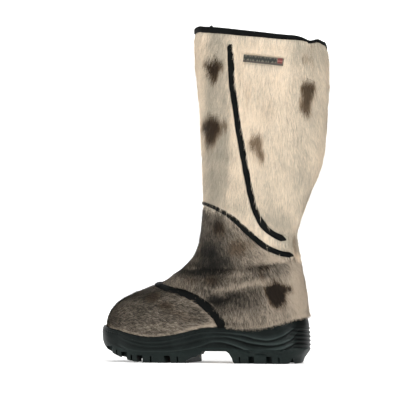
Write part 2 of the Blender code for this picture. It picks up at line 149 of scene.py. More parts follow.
# ---- leather: widths along x, or up z on the shaft ----
BINDING_HEIGHTS = ((-60, 8.6), (0, 8.4), (38, 8.3), (67, 8.1), (96, 7.3), (125, 6.9), (142, 6.2),
                   (150, 4.9), (156, 3.8), (160, 3.8), (166, 4.6), (200, 4.6))
SHAFT_SEAM_WIDTHS = ((160, 8.6), (230, 9.2), (290, 9.8), (340, 10.2), (400, 10.2), (440, 9.4))
TOE_SEAM_WIDTHS = ((-125, 9), (-40, 9.6), (0, 11), (20, 12.6), (40, 13.6))
PIPING, TOE_PIPING, BINDING = 0.0098, 0.011, 0.008   # the settings that those tables stand for, metres
PIPING_HEIGHTS = {"shaft": 2.7, "ankle": 2.9, "toe": 3.0}
STRIP_SUNK, STRIP_POINTS = 2.2, 12         # its base below the coat, and points over its round top
BINDING_WALL, BINDING_FOLD = 6.0, 3.0      # what it folds over, and its rounding
BINDING_ENDS_AT = 20                       # x of the place where its ends overlap
BINDING_OUTSIDE = ((1.02, 1.4), (1.0, 0.4), (0.93, 0), (0.75, -0.15), (0.5, -0.1))   # share down, set back
BINDING_INSIDE = ((0.5, 0.1), (0.93, 0), (1.0, 0.4), (1.02, 1.4))

# ---- creases: depth (troughs below zero), half width, then x, z along each ----
CREASES = (
    (-5.4, 4.6, ((-16, 137), (9, 132), (28, 129.5), (44, 128), (65, 129), (80, 130), (95, 131.5),
                 (114, 136))),
    (-3.2, 3.2, ((-24, 122.5), (-2, 124.5), (18, 124.5), (37, 126), (50, 128))),
    (3.2, 7, ((-40, 108), (-22, 113), (2, 115), (22, 113))),
    (4.4, 5, ((27, 93), (40, 98), (57, 104), (75, 109.5), (91, 114), (106, 116))),
    (-3.8, 6, ((14, 88), (25, 84), (38, 88), (53, 94), (70, 99))),
    (3.4, 6, ((58, 140), (85, 142), (108, 145), (128, 146))),
    (-1.6, 9, ((-4, 281), (18, 283), (38, 284), (60, 276))),
    (-1.8, 10, ((128, 182), (108, 190), (92, 205))),
    (1.8, 12, ((14, 245), (40, 236), (66, 215))),
    (-2, 5, ((-8, 150), (10, 149), (26, 153))),
)

# ---- marks on the coat, on a plane turned MARK_TURN degrees to the shoe's side ----
# along and up the plane, half length, half height, turn in degrees, strength, softness
MARK_TURN = 20.0
OUTER_SPOTS = (
    (9, 406, 14.5, 8, -10, 1, 0.24), (9.5, 397.5, 10, 9, 0, 1, 0.3), (9, 388.5, 5.5, 8, 6, 0.9, 0.4),
    (6.5, 321.5, 13, 14.5, 8, 1, 0.28), (5.5, 305, 7.5, 13, -6, 0.95, 0.4),
    (22, 323, 8.5, 7, 10, 0.75, 0.45), (137.5, 372, 10.5, 10.5, 8, 0.92, 0.3),
    (136, 358.5, 8.6, 10, -5, 0.9, 0.35), (134.5, 346, 8, 10.5, 6, 0.84, 0.4),
    (66.5, 299.5, 9.5, 9.5, 0, 0.78, 0.4), (72, 285, 6.5, 11, 8, 0.78, 0.45),
    (134, 412.5, 4.6, 6, 10, 0.32, 0.6), (142.5, 410, 3.6, 5.5, 0, 0.26, 0.6),
    (140.5, 431, 5.5, 4.5, 0, 0.2, 0.7), (55, 368, 4, 10, 0, 0.12, 0.8),
    (83, 344, 6, 12, 0, 0.1, 0.8), (93.5, 99.5, 14.8, 13.6, 0, 1, 0.18),
    (97, 87.5, 12.2, 12.8, 0, 1, 0.2), (107.5, 102, 9.5, 6, -6, 1, 0.3),
    (120.5, 160, 2, 15, 4, 0.45, 0.6), (16.5, 183, 8, 8.5, 0, 0.85, 0.5),
    (42, 157, 12, 12, 0, 0.55, 0.6), (58, 162, 7, 6, 0, 0.3, 0.6),
    (79, 129.5, 7, 2.8, -6, 0.85, 0.5), (75, 119, 3.6, 6, 0, 0.4, 0.6),
    (6, 112.5, 9, 5, 0, 0.5, 0.6), (-22, 114, 9, 4, 0, 0.3, 0.6), (-56, 78, 10, 5, -5, 0.55, 0.6),
    (-74, 89, 10, 6.5, 15, 0.6, 0.5), (-40, 68, 16, 3.5, -6, 0.25, 0.7),
    (-26, 60, 14, 3, 0, 0.2, 0.7),
)
INNER_SPOTS = (
    (30, 424, 9, 12, 8, 0.8, 0.35), (92, 398, 8, 15, -6, 0.9, 0.3), (98, 383, 5, 9, 0, 0.6, 0.5),
    (24, 352, 8, 10, 4, 0.55, 0.5), (118, 330, 10, 14, 6, 0.9, 0.3), (60, 300, 7, 13, 0, 0.7, 0.4),
    (14, 262, 7, 11, 0, 0.6, 0.5), (88, 236, 9, 12, -8, 0.85, 0.3), (130, 262, 4, 7, 0, 0.4, 0.6),
    (44, 182, 12, 9, 12, 0.7, 0.4), (76, 112, 12, 13, 0, 0.9, 0.3), (24, 92, 9, 6, 0, 0.6, 0.5),
    (-40, 80, 10, 6, 0, 0.5, 0.5), (-80, 76, 9, 5, 0, 0.5, 0.5), (110, 84, 6, 6, 0, 0.5, 0.5),
)
# a tone's strength is lighter above zero, darker below
# The foot's tones are partly the fur's own colour and partly painted light: narrow pale lines along the fold's
# lip and the ridges are painted highlights, and dark patches along the creases, under the ridge, in front of
# the ankle and beside the toe's strip are painted shadow.
FOOT_TONES_AND_PAINTED_LIGHT = (
    (12, 144, 20, 16, 0, -0.42, 0.7), (-14, 126, 30, 9, 0, -0.3, 0.7),
    (-2, 115, 26, 8, 0, -0.26, 0.7), (28, 133, 20, 6, 0, -0.16, 0.7),
    (10, 180, 16, 18, 30, -0.14, 0.9), (60, 139, 10, 8, 0, 0.02, 0.8),
    (102, 150, 30, 8, -16, 0.34, 0.7), (96, 124, 22, 10, 0, -0.3, 0.8),
    (8, 94.5, 13, 2.8, 25, 0.12, 0.6), (27.5, 101.6, 12, 2.6, 15, 0.2, 0.6),
    (44.6, 105.6, 11, 2.6, 12, 0.2, 0.6), (64.5, 108.8, 14, 2.4, 8, 0.1, 0.6),
    (86, 112, 11, 2.4, 9, 0.08, 0.6), (54, 114.5, 26, 4.4, 10, -0.12, 0.6),
    (68, 117.5, 18, 4.5, 6, -0.06, 0.7), (18, 107.5, 9, 4, 10, -0.06, 0.7),
    (10, 96, 10, 5, 0, 0.06, 0.7), (52, 88, 32, 15, 8, -0.34, 0.7),
    (12, 86, 14, 7, -30, -0.4, 0.6), (62, 66, 44, 14, 6, -0.06, 0.8),
    (98, 135.5, 26, 2.8, 8, -0.3, 0.7), (98, 141.5, 20, 4.2, 8, 0.36, 0.7),
    (106, 130, 12, 5, 0, -0.1, 0.8), (124, 112, 12, 36, 0, 0.16, 0.8),
    (58, 142, 17, 9, 0, -0.15, 0.8), (34, 127, 20, 5, 0, 0.24, 0.7),
    (46, 122, 9, 9, 0, 0.14, 0.8), (31, 191, 9, 8, 0, 0.12, 0.8),
    (64, 121, 20, 6, 0, -0.06, 0.8), (130, 98, 14, 32, 0, 0.42, 0.8),
    (2, 155, 9, 18, 0, -0.22, 0.8), (-4, 126.5, 30, 2, 3, -0.3, 0.7),
    (-4, 130.6, 30, 1.8, 3, 0.26, 0.7), (38, 158, 14, 12, 0, -0.08, 0.8),
    (28, 154, 9, 9, 0, 0.06, 0.8),
)
TOE_TONES = (
    (-32, 49, 80, 6, 2, 0.2, 0.8), (-34, 86, 22, 5, -18, 0.16, 0.8),
    (-6, 75, 16, 5, -38, 0.24, 0.7), (10, 60, 8, 12, 20, 0.36, 0.7),
    (-60, 98, 34, 8, 10, -0.16, 0.8), (-70, 66, 30, 14, 0, 0.06, 0.9),
    (-92, 74, 20, 20, 0, -0.05, 0.9),
)
# Among the shaft's tones the greyer front panel is the fur's own colour; the band along the crease at z 283 is
# painted shade.
SHAFT_TONES = (
    (14, 330, 17, 150, 0, -0.44, 0.4), (30, 250, 16, 50, 8, -0.12, 0.8),
    (16, 283, 30, 7, 0, -0.12, 0.8), (148, 350, 20, 120, -4, -0.24, 0.8),
    (140, 428, 28, 24, 0, -0.26, 0.8), (60, 440, 60, 9, 0, -0.2, 0.8),
    (98, 188, 20, 12, -10, -0.34, 0.7), (54, 205, 18, 20, -30, -0.12, 0.8),
    (114, 164, 20, 12, -12, -0.5, 0.7), (36, 213, 16, 8, -20, -0.16, 0.8),
    (4, 238, 9, 26, 0, -0.26, 0.8), (116, 385, 8, 30, 0, -0.06, 0.8),
    (124, 385, 14, 70, 0, -0.16, 0.8), (74, 372, 12, 24, 0, -0.1, 0.9),
    (98, 290, 28, 44, 0, -0.16, 0.9), (93, 240, 32, 30, 0, -0.12, 0.9),
    (134, 238, 16, 30, 0, -0.18, 0.9), (88, 205, 26, 16, 0, -0.22, 0.9),
)
SPOT_RAGGED, SHAFT_RAGGED, FOOT_RAGGED = 2.4, 1.4, 1.2   # how far noise moves the marks' edges

# ---- the coat's layers, below its surface, and its hair ----
Region = namedtuple("Region", "node slot comb locks strips tone")
REGIONS = {
    # CAD node, slot, angle of the hair, locks on each side, strips that cut them, how pale before its marks
    "shaft": Region("shaft", "fur_shaft", 0, 147000, ("shaft", "ankle"), 0.98),
    "foot": Region("upper", "fur_foot", 20, 106000, ("ankle", "toe"), 0.50),
    "toe": Region("toe_cap", "fur_foot", 80, 67000, ("toe",), 0.36),
}
HIDE, HIDE_TUCK, HIDE_BACK = 2.4, 0.9, 4.6               # TUCK is the further depth inside the cup
HIDE_SHADE, HIDE_ALONG = 0.4, 0.22                       # the lock and the place on it that the hide shows; both make the hide darker, as painted shade down among the locks
LINING, LINING_BACK = 4.8, 7.0
RIM_CLEAR, BINDING_TUCK = 0.5, 1.5                       # roots above the rim, and up under the binding
LIFT, LIFT_WANDER, LIFT_SCATTER = 11, 5, 3.5             # degrees off the coat
ASTRAY_SHARE, ASTRAY_LIFT = 0.08, 18
LIFT_LIMITS = (0.02, 0.6)                                # radians
SWINGS = ((0.16, 16, 9), (0.20, 5, 10), (0.14, 2.2, 11))  # how far, over what size, seed
SHADING_SCATTER = 0.22
LONG_SCATTER, LONG_LIMITS = 0.12, (0.5, 1.5)             # of a lock's length
SWING_SCATTER = 0.07
SHORTEST = 0.25                                          # share of a lock, below which it is left out
NEAR_STRIP, ABOVE_BADGE = 20, 18                         # how far away roots are still looked at

# ---- the cup ----
FLOW_LINES = (                    # strength at the toe and at the heel, then x, z along each
    (0.35, 1.0, ((-112, 41), (-100, 36), (-72, 28.8), (-43, 29), (-16, 35), (7, 41), (34, 42.6),
                 (54, 41), (72, 38.4), (85, 34.9), (94, 33.6), (105, 33.2), (116, 35.8), (125, 40),
                 (132, 45.3), (138, 52))),
    (0.35, 1.2, ((-112, 36), (-100, 30.6), (-72, 23.6), (-43, 23.6), (-16, 28), (7, 33.8), (29, 37),
                 (48, 36.2), (64, 32.6), (77, 29.2), (90, 27.4), (103, 26.3), (112, 26.6),
                 (121, 28.4), (129, 31.6), (135, 36), (141, 48))),
    (0.6, 1.5, ((-112, 26), (-103, 21.5), (-91, 17.3), (-79, 15.6), (-68, 15.3), (-46, 15.8),
                (-30, 16.4), (-14, 18.6), (-3, 20.8), (6.5, 23.4), (23, 29.3), (37, 29.6),
                (50, 26.9), (61, 23.2), (72, 19.2), (83, 16.2), (92, 15.2), (103, 16), (112, 17.6),
                (122, 20.8), (130, 24.4), (140, 31))),
    (1.0, 1.2, ((98, 11.5), (112, 14.2), (121, 15.9), (134, 19.4), (144, 23))),
)
FLOW_HEIGHT = 1.35
STITCH_PITCH, STITCH_DROP = 4.3, 5.4
RIB_PITCH = 5.6
CUP_RINGS = 52
CUP_INSETS = ((0, 0.4, 0.75, 0.93, 1.0), (0.3, 0, 0.6, 1.5, 3.0))   # share up the wall, inset
CUP_LIP = ((3.6, -0.15), (4.3, -0.1), (4.9, 0.3), (5.2, 1.4), (5.4, 6.0))   # inset, drop from the rim
CUP_START, CUP_FLOOR = 0.4, 6.0   # below and above the parting
FLOOR_INSET = 6.0
HEEL_INSET = 1.8                  # further inset at the heel's end, at the parting
CUP_HEEL_INSET = 2.0              # and again at the cup's rim
PLAIN_RELIEF, RELIEF_A_MM = 0.47, 0.28     # what the cup's finish reads, 0 to 1
HEEL_HIGHLIGHT = (112, 24, 18, 12)     # middle x, z and half lengths of a painted highlight on the heel's wall

# ---- tread ----
TREAD_LEVELS = ((6, 0), (4, 0.02), (2.6, 0.1), (1.7, 0.22), (1.2, 0.36), (0.8, 0.5), (0.55, 0.64),
                (0.4, 0.8), (0.3, 0.92), (0.3, 1.0))     # inset, share up to the parting
TREAD_HEEL_INSET = 7.0            # at the heel's end, at the floor
ARCH = ((-15, -5), (-15, 11), (-11, 18), (42, 18), (47, 14), (51, 7), (54, -5))
OUTER_ARCH = ((-18, -5), (-13, 3.6), (-6, 7.2), (-4, 8), (1, 8.6), (3, 11.6), (7, 12.2),
              (9.5, 16.4), (43, 16.4), (47, 13.6), (51, 7), (54, -5))
INNER_ARCH = ((-15.2, 22), (-23, 44), (-23, 90), (5, 90), (5, 22))     # x, y, from below
INNER_ARCH_TOP = 18.0
ARCH_EDGE = -31.0                 # the outer arch's shape runs in to this y
BEYOND, UNDER = 90.0, -20.0       # past the sole's side, and under it
LUG_DEPTH, NOTCH_WIDTH = 10.0, 8.2
SLOT_OUT, SLOT_UNDER = 30.0, -12.0
NOTCHES = (                       # x, side (-1 outer), turn in degrees, how far in it runs
    (-122, -1, 24, 20), (-101, -1, 16, 22), (-78, -1, 9, 21), (-39, -1, -6, 21),
    (-118, 1, -26, 20), (-98, 1, -18, 22), (-77, 1, -10, 20), (-39, 1, 6, 14),
    (79, -1, 8, 10), (104, -1, 0, 8), (79, 1, -8, 9), (104, 1, 0, 8),
)
SLIT_DEPTH, SLIT_WIDTH = 9.0, 2.2
SLITS = (                         # narrow cuts across single lugs, as above
    (-62, -1, 8, 9), (-25, -1, -8, 8), (-90, -1, 12, 9), (117, -1, -10, 7), (-112, -1, 20, 9),
    (62, -1, 4, 6), (-62, 1, -10, 9), (-88, 1, -14, 9), (117, 1, 10, 7), (-108, 1, -22, 9),
    (62, 1, -4, 6),
)
CLEATS = (                        # pin x, centre y, way the stored plate points, length, width
    (-58, -2.5, 1, 38, 54),
    (98, -0.5, -1, 34, 46),
)
WELL_SIDE = 1.0
STORE_DEPTH, STORE_PAST = 12.0, 5.0        # PAST runs to the far side of the pin
LANDING_DEPTH, LANDING_PAST = 7.5, 4.0
PIN_Z, PIN_SEAT, PIN_PAST = 3.5, 1.9, 6.3
SHARP_ANGLE = 32                  # between faces, in degrees, above which an edge stays sharp

# the middle of the badge on the outer side, its size, and its turn in degrees
BADGE = {"x": 99.6, "z": 411.6, "length": 55.4, "height": 10.0, "turn": -6.5}
BADGE_CELLS = (72, 16)
BADGE_TOP, BADGE_BORDER, BADGE_UNDER = 1.15, 0.28, 0.15     # above the coat; its border is that much higher

# ---- stage: metres ----
PAPER = {"width": 15.0, "front": -7.0, "depth": 7.0, "height": 7.0, "bend": 1.6}
LIGHTS = (                        # name, place before the camera's turn, size, watts
    ("key", (0.7, -1.7, 1.5), 1.2, 42.0),
    ("fill", (-2.1, -0.8, 0.9), 1.5, 25.0),
    ("top", (0.0, 0.3, 2.3), 1.6, 30.0),
)
WORLD_LIGHT = 0.2
TARGET = (-0.0218, 0.2228)        # what the camera looks at: to its right, and up


# ==== settings ====
def length(name, what, default):
    return bpy.props.FloatProperty(name=name, description=what, default=default, min=0.0, unit="LENGTH")


def angle(name, what, degrees):
    return bpy.props.FloatProperty(name=name, description=what, default=math.radians(degrees),
                                   subtype="ANGLE")


def colour(name, what, default):
    return bpy.props.FloatVectorProperty(name=name, description=what, default=default, size=3,
                                         min=0.0, max=1.0, subtype="COLOR")


class BootSizes(bpy.types.PropertyGroup):
    """Sizes of the finish."""
    shaft_hair: length("Shaft hair", "Length of the hair on the shaft", 0.0135)
    foot_hair: length("Foot hair", "Length of the hair on the foot", 0.0100)
    toe_hair: length("Toe hair", "Length of the hair on the toe cap", 0.0090)
    hair_width: length("Hair width", "Width of a lock of hair at its root", 0.0006)
    piping: length("Piping", "Width of the leather strip half way up the shaft", PIPING)
    seam_piping: length("Seam piping", "Width of the leather strip at the ankle", 0.0072)
    toe_piping: length("Toe piping", "Width of the leather strip over the instep", TOE_PIPING)
    binding: length("Binding", "Height of the leather folded over the top edge", BINDING)


class BootColours(bpy.types.PropertyGroup):
    """Colours of the finish."""
    cream: colour("Cream", "The shaft's pale hair", (0.95, 0.81, 0.635))
    ash: colour("Ash", "The shaft's greyer hair", (0.37, 0.335, 0.265))
    silver: colour("Silver", "Pale hair on the foot", (0.56, 0.465, 0.36))
    umber: colour("Umber", "Dark hair on the foot", (0.013, 0.012, 0.0095))
    spot: colour("Spot", "The dark spots", (0.040, 0.024, 0.0125))
    leather: colour("Leather", "Binding and piping", (0.0022, 0.0026, 0.0024))
    rubber: colour("Rubber", "Cup and tread", (0.0046, 0.0069, 0.0064))
    felt: colour("Felt", "Lining and insole", (0.42, 0.39, 0.34))
    red: colour("Red", "Cleat plates", (0.56, 0.030, 0.050))
    yellow: colour("Yellow", "Inlay under the waist", (0.82, 0.50, 0.05))


class StageSettings(bpy.types.PropertyGroup):
    """Camera, lights and floor."""
    distance: length("Distance", "Camera to boot", 5.0)
    turn: angle("Turn", "Camera's turn towards the heel", 20)
    rise: angle("Rise", "Camera's elevation", -0.33)
    lens: bpy.props.FloatProperty(name="Lens", description="Focal length", default=327.6, min=1.0)


# ==== curves and noise ====
def smooth(stations, values, at):
    """A smooth curve through values at the stations, read at one or many places."""
    x = np.asarray(stations, float)
    y = np.asarray(values, float)
    slope = np.gradient(y, x, axis=0)
    at = np.clip(np.asarray(at, float), x[0], x[-1])
    k = np.clip(np.searchsorted(x, at, side="right") - 1, 0, len(x) - 2)
    h = x[k + 1] - x[k]
    t = (at - x[k]) / h
    if y.ndim > 1:
        t, h = t[..., None], h[..., None]
    rise = 3 * t**2 - 2 * t**3
    return (y[k] * (1 - rise) + y[k + 1] * rise
            + h * (slope[k] * (t - 2 * t**2 + t**3) + slope[k + 1] * (t**3 - t**2)))


def read(table, at):
    """A table of two columns read at one or many places."""
    return smooth(*np.array(table, float).T, at)


def over_rim(points):
    return points[..., 2] - read(RIM_LINE, points[..., 0])


def collar_height(points):
    """Height of the top edge over points.

    The inner side reads the line further back, so it never stands above the outer.
    """
    inner = np.maximum(points[..., 1], 0)
    return read(COLLAR_LINE, points[..., 0] + 0.74 * inner) - np.minimum(inner / 12, 1)


def step_between(low, high, value):
    """0 below low, 1 above high, and a soft step between them."""
    t = np.clip((value - low) / (high - low), 0, 1)
    return t * t * (3 - 2 * t)


def bell(away, width):
    return np.exp(-((away / width) ** 2))


def turned(a, b, degrees):
    """The place a, b turned about zero."""
    cos, sin = math.cos(math.radians(degrees)), math.sin(math.radians(degrees))
    return a * cos - b * sin, a * sin + b * cos


def noise(points, size, seed):
    """Smooth noise from -1 to 1 with features of about size millimetres. size may differ by axis."""
    table = np.random.default_rng(SEED + seed).uniform(-1, 1, (32, 32, 32))
    scaled = points / np.asarray(size, float)
    cell = np.floor(scaled).astype(int)
    t = scaled - cell
    t = t * t * (3 - 2 * t)
    total = 0.0
    for corner in itertools.product((0, 1), repeat=3):
        index = (cell + corner) % 32
        weight = np.prod(np.where(corner, t, 1 - t), axis=-1)
        total = total + table[index[..., 0], index[..., 1], index[..., 2]] * weight
    return total


def unit(vectors):
    return vectors / np.maximum(np.linalg.norm(vectors, axis=-1, keepdims=True), 1e-9)


def dot(a, b):
    return np.sum(a * b, axis=-1, keepdims=True)


# ==== the last ====
def upper_point(u, v):
    """A point of the coat's surface: u counts the rows of SECTIONS, v goes round from the front."""
    rows = np.array(SECTIONS)
    at = np.moveaxis(smooth(range(len(rows)), rows, u), -1, 0)
    fx, fz, bx, bz, lateral, medial, belly, front_n, back_n = at
    cos, sin = np.cos(v), np.sin(v)
    n = np.where(cos > 0, front_n, back_n)
    reach = np.where(cos > 0, -belly, 1 - belly) * np.abs(cos) ** (2 / n) + belly
    width = np.where(sin > 0, -lateral, medial) * np.abs(sin) ** (2 / n)
    return np.stack([fx + (bx - fx) * reach, width, fz + (bz - fz) * reach], axis=-1)


def even_angles(u, count):
    """Angles round each section that share its length evenly, with as many on each side."""
    fine = np.linspace(0, 2 * math.pi, 1441)
    rings = upper_point(*np.meshgrid(u, fine, indexing="ij"))
    angles = []
    for row in np.linalg.norm(np.diff(rings, axis=1), axis=-1):
        share = np.concatenate([[0], np.cumsum(row)])
        middle = share[len(fine) // 2]
        share = np.where(share <= middle, share / middle,
                         1 + (share - middle) / (share[-1] - middle)) / 2
        angles.append(np.interp(np.arange(count) / count, share, fine))
    return np.array(angles)


def crease_relief(x, z):
    """How far creases and ridges lift the coat, in millimetres, seen from the side."""
    relief = np.zeros_like(x)
    for depth, half_width, line in CREASES:
        path = np.array(line, float)
        best = np.full(x.shape, 1e9)
        along = np.zeros_like(x)
        for k in range(len(path) - 1):
            a, d = path[k], path[k + 1] - path[k]
            t = np.clip(((x - a[0]) * d[0] + (z - a[1]) * d[1]) / (d @ d), 0, 1)
            away = np.hypot(x - a[0] - t * d[0], z - a[1] - t * d[1])
            nearer = away < best
            best = np.where(nearer, away, best)
            along = np.where(nearer, (k + t) / (len(path) - 1), along)
        fade = np.minimum(1, np.minimum(along, 1 - along) * 5 + 0.25)
        relief += depth * fade * bell(best, half_width)
    return relief


class Coat:
    """The coat's outer surface as a grid of points and normals.

    Its rows go from toe to top, and its columns round from the front.
    """

    def __init__(self):
        u = np.linspace(0, len(SECTIONS) - 1, (len(SECTIONS) - 1) * ROWS_A_SECTION + 1)
        v = even_angles(u, AROUND)
        self.points = upper_point(np.repeat(u[:, None], AROUND, axis=1), v)
        self.normals = self.normals_of(self.points)
        x, y, z = np.moveaxis(self.points, -1, 0)
        relief = crease_relief(x, z) * np.where(y < 0, 1.0, 0.75)
        relief += 0.7 * noise(self.points, (26, 26, 40), 0) + 0.35 * noise(self.points, (9, 9, 14), 1)
        held = step_between(2, 14, over_rim(self.points))
        held *= step_between(0, 26, collar_height(self.points) - z)
        self.points = self.points + self.normals * (relief * held)[..., None]
        self.normals = self.normals_of(self.points)
        self.rows, self.columns = self.points.shape[:2]

    @staticmethod
    def normals_of(points):
        along = np.gradient(points, axis=0)
        around = np.roll(points, -1, axis=1) - np.roll(points, 1, axis=1)
        normals = unit(np.cross(around, along))
        normals[0] = (-1, 0, 0)
        return normals

    def at(self, row, column):
        """Points and normals between the grid's own, at fractional rows and columns."""
        row, column = np.clip(row, 0, self.rows - 1.001), np.asarray(column)
        r, c = np.floor(row).astype(int), np.floor(column).astype(int)
        tr, tc = (row - r)[..., None], (column - c)[..., None]
        left, right = c % self.columns, (c + 1) % self.columns
        found = []
        for grid in (self.points, self.normals):
            low = grid[r, left] * (1 - tc) + grid[r, right] * tc
            high = grid[r + 1, left] * (1 - tc) + grid[r + 1, right] * tc
            found.append(low * (1 - tr) + high * tr)
        return found[0], unit(found[1])

    def crossing(self, height):
        """For each column, the fractional row where the coat last rises through height over its points."""
        above = self.points[..., 2] - height
        last = self.rows - 1 - np.argmax((above < 0)[::-1], axis=0)
        last = np.minimum(last, self.rows - 2)
        column = np.arange(self.columns)
        low, high = above[last, column], above[last + 1, column]
        return last + np.clip(-low / np.maximum(high - low, 1e-6), 0, 1)

    def lookup(self, x, z, side):
        """Fractional row and column of the place at x, z on one side of the boot."""
        half = self.columns // 2
        columns = np.arange(0, half + 1) if side < 0 else np.arange(half, self.columns + 1)
        part = self.points[:, columns % self.columns]
        away = (part[..., 0] - x) ** 2 + (part[..., 2] - z) ** 2
        r, c = np.unravel_index(np.argmin(away), away.shape)
        row, column = float(r), float(columns[c])
        for _ in range(4):
            here = self.at(row, column)[0]
            d_row = self.at(row + 0.5, column)[0] - self.at(row - 0.5, column)[0]
            d_col = self.at(row, column + 0.5)[0] - self.at(row, column - 0.5)[0]
            jacobian = np.array([[d_row[0], d_col[0]], [d_row[2], d_col[2]]])
            if abs(np.linalg.det(jacobian)) < 0.05:
                break
            move = np.clip(np.linalg.solve(jacobian, [x - here[0], z - here[2]]), -1, 1)
            row, column = row + move[0], column + move[1]
        return row, column


coat = Coat()


def through_front(rows, start, stop):
    """A seam's rows and columns from column start, past the front at column 0, to column stop."""
    column = np.arange(start - AROUND, stop)
    return np.stack([rows[column % AROUND], column], axis=1)


def seam_paths():
    """Each seam as fractional rows and columns along it."""
    column, half = np.arange(AROUND), AROUND // 2
    ankle, toe = (coat.crossing(read(seam, coat.points[..., 0])) for seam in (ANKLE_SEAM, TOE_SEAM))
    ring = coat.at(ankle, column)[0]
    at_back = (np.abs(ring[:, 1]) < BACK_OPEN) & (ring[:, 0] > 60)
    shown = over_rim(coat.at(toe, column)[0]) > -4
    outer = np.array([coat.lookup(x, z, -1) for x, z in SHAFT_SEAM])
    return {
        "ankle": through_front(ankle, AROUND - int(np.argmax(at_back[::-1])), int(np.argmax(at_back))),
        "toe": through_front(toe, half + int(np.argmax(shown[half:])), int(np.argmin(shown[:half]))),
        "shaft_outer": outer,
        "shaft_inner": np.stack([outer[:, 0], AROUND - outer[:, 1]], axis=1),
    }


def dense(path):
    """Points and normals every STRIP_STEP along a path on the coat."""
    points = coat.at(path[:, 0], path[:, 1])[0]
    reached = np.concatenate([[0], np.cumsum(np.linalg.norm(np.diff(points, axis=0), axis=1))])
    want = np.linspace(0, reached[-1], max(int(reached[-1] / STRIP_STEP), 4) + 1)
    return coat.at(*(smooth(reached, path[:, k], want) for k in (0, 1)))


# ==== making objects ====
def to_row(points):
    return (np.asarray(points, float).reshape(-1, 3) + LAST_TO_ROW) * MM


def linked(name, data):
    """A new object of data, in the scene."""
    made = bpy.data.objects.new(name, data)
    bpy.context.scene.collection.objects.link(made)
    return made


def mesh_piece(name, points, faces, material, smooth_faces=True):
    """A mesh object from points in the last's millimetres and lists of faces with as many corners each."""
    mesh = bpy.data.meshes.new(name)
    places = to_row(points)
    mesh.vertices.add(len(places))
    mesh.vertices.foreach_set("co", places.astype(np.float32).ravel())
    faces = [np.asarray(f, np.int32) for f in faces if len(f)]
    corners = np.concatenate([f.ravel() for f in faces])
    counts = np.concatenate([np.full(len(f), f.shape[1], np.int32) for f in faces])
    mesh.loops.add(len(corners))
    mesh.loops.foreach_set("vertex_index", corners)
    mesh.polygons.add(len(counts))
    starts = np.concatenate([[0], np.cumsum(counts)[:-1]])
    mesh.polygons.foreach_set("loop_start", starts.astype(np.int32))
    mesh.polygons.foreach_set("use_smooth", np.full(len(counts), smooth_faces))
    mesh.update(calc_edges=True)
    mesh.materials.append(material)
    return linked(name, mesh)


def give(piece, body, slot, *replaces):
    """Says what a piece rides on, what it is finished as, and which CAD nodes it stands for."""
    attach(piece, body)
    if replaces:
        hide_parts(*replaces)


def grid_faces(rows, columns, closed=True):
    """Quads of a grid with rows of columns, closed round each row if asked."""
    r, c = np.meshgrid(np.arange(rows - 1), np.arange(columns if closed else columns - 1), indexing="ij")
    c1 = (c + 1) % columns
    corners = [r * columns + c, r * columns + c1, (r + 1) * columns + c1, (r + 1) * columns + c]
    return np.stack(corners, axis=-1).reshape(-1, 4)


def store(piece, name, values, kind="FLOAT"):
    """A named attribute on a piece's points."""
    layer = piece.data.attributes.new(name, kind, "POINT")
    layer.data.foreach_set("vector" if kind == "FLOAT_VECTOR" else "value",
                           np.asarray(values, np.float32).ravel())


def only(ob):
    """Selects one object and nothing else."""
    bpy.ops.object.select_all(action="DESELECT")
    ob.select_set(True)
    bpy.context.view_layer.objects.active = ob


def face_out(piece):
    """Turns every face of a closed piece outwards."""
    only(piece)
    bpy.ops.object.mode_set(mode="EDIT")
    bpy.ops.mesh.select_all(action="SELECT")
    bpy.ops.mesh.normals_make_consistent(inside=False)
    bpy.ops.object.mode_set(mode="OBJECT")


# ==== nodes ====
def plug(tree, node, inputs):
    """Sets a node's inputs to constants or to other nodes' outputs."""
    for socket, value in inputs.items():
        if isinstance(value, bpy.types.NodeSocket):
            tree.links.new(value, node.inputs[socket])
        else:
            node.inputs[socket].default_value = value


def add(tree, kind, inputs=None, **settings):
    """A node with its settings and its inputs."""
    made = tree.nodes.new(kind)
    for key, value in settings.items():
        setattr(made, key, value)
    plug(tree, made, inputs or {})
    return made


def math_node(tree, operation, a, b=0.0, clamp=False):
    return add(tree, "ShaderNodeMath", {0: a, 1: b}, operation=operation, use_clamp=clamp).outputs[0]


def plus(tree, total, *values):
    for value in values:
        total = math_node(tree, "ADD", total, value)
    return total


def times(tree, total, *values):
    for value in values:
        total = math_node(tree, "MULTIPLY", total, value)
    return total


def soft_range(tree, value, low, high, out_low=0.0, out_high=1.0, kind="SMOOTHSTEP"):
    return add(tree, "ShaderNodeMapRange", {
        "Value": value, "From Min": low, "From Max": high, "To Min": out_low, "To Max": out_high},
        interpolation_type=kind).outputs[0]


def mix_colour(tree, factor, a, b, blend="MIX"):
    return add(tree, "ShaderNodeMix", {0: factor, 6: a, 7: b}, data_type="RGBA", blend_type=blend).outputs[2]


def tinted(tree, a, b):
    return mix_colour(tree, 1.0, a, b, "MULTIPLY")


def grey(tree, value):
    return add(tree, "ShaderNodeCombineColor", dict.fromkeys(range(3), value)).outputs[0]


def rgb(values, scale=1.0, more=0.0):
    return (*(min(1.0, c * scale + more) for c in values), 1.0)


def place_in(tree):
    return add(tree, "ShaderNodeTexCoord").outputs["Object"]


def noise_in(tree, place, scale, detail, **inputs):
    return add(tree, "ShaderNodeTexNoise", {
        "Vector": place, "Scale": scale, "Detail": detail, **inputs}).outputs[0]


def bump(tree, height, strength, distance):
    return add(tree, "ShaderNodeBump", {
        "Height": height, "Strength": strength, "Distance": distance}).outputs[0]


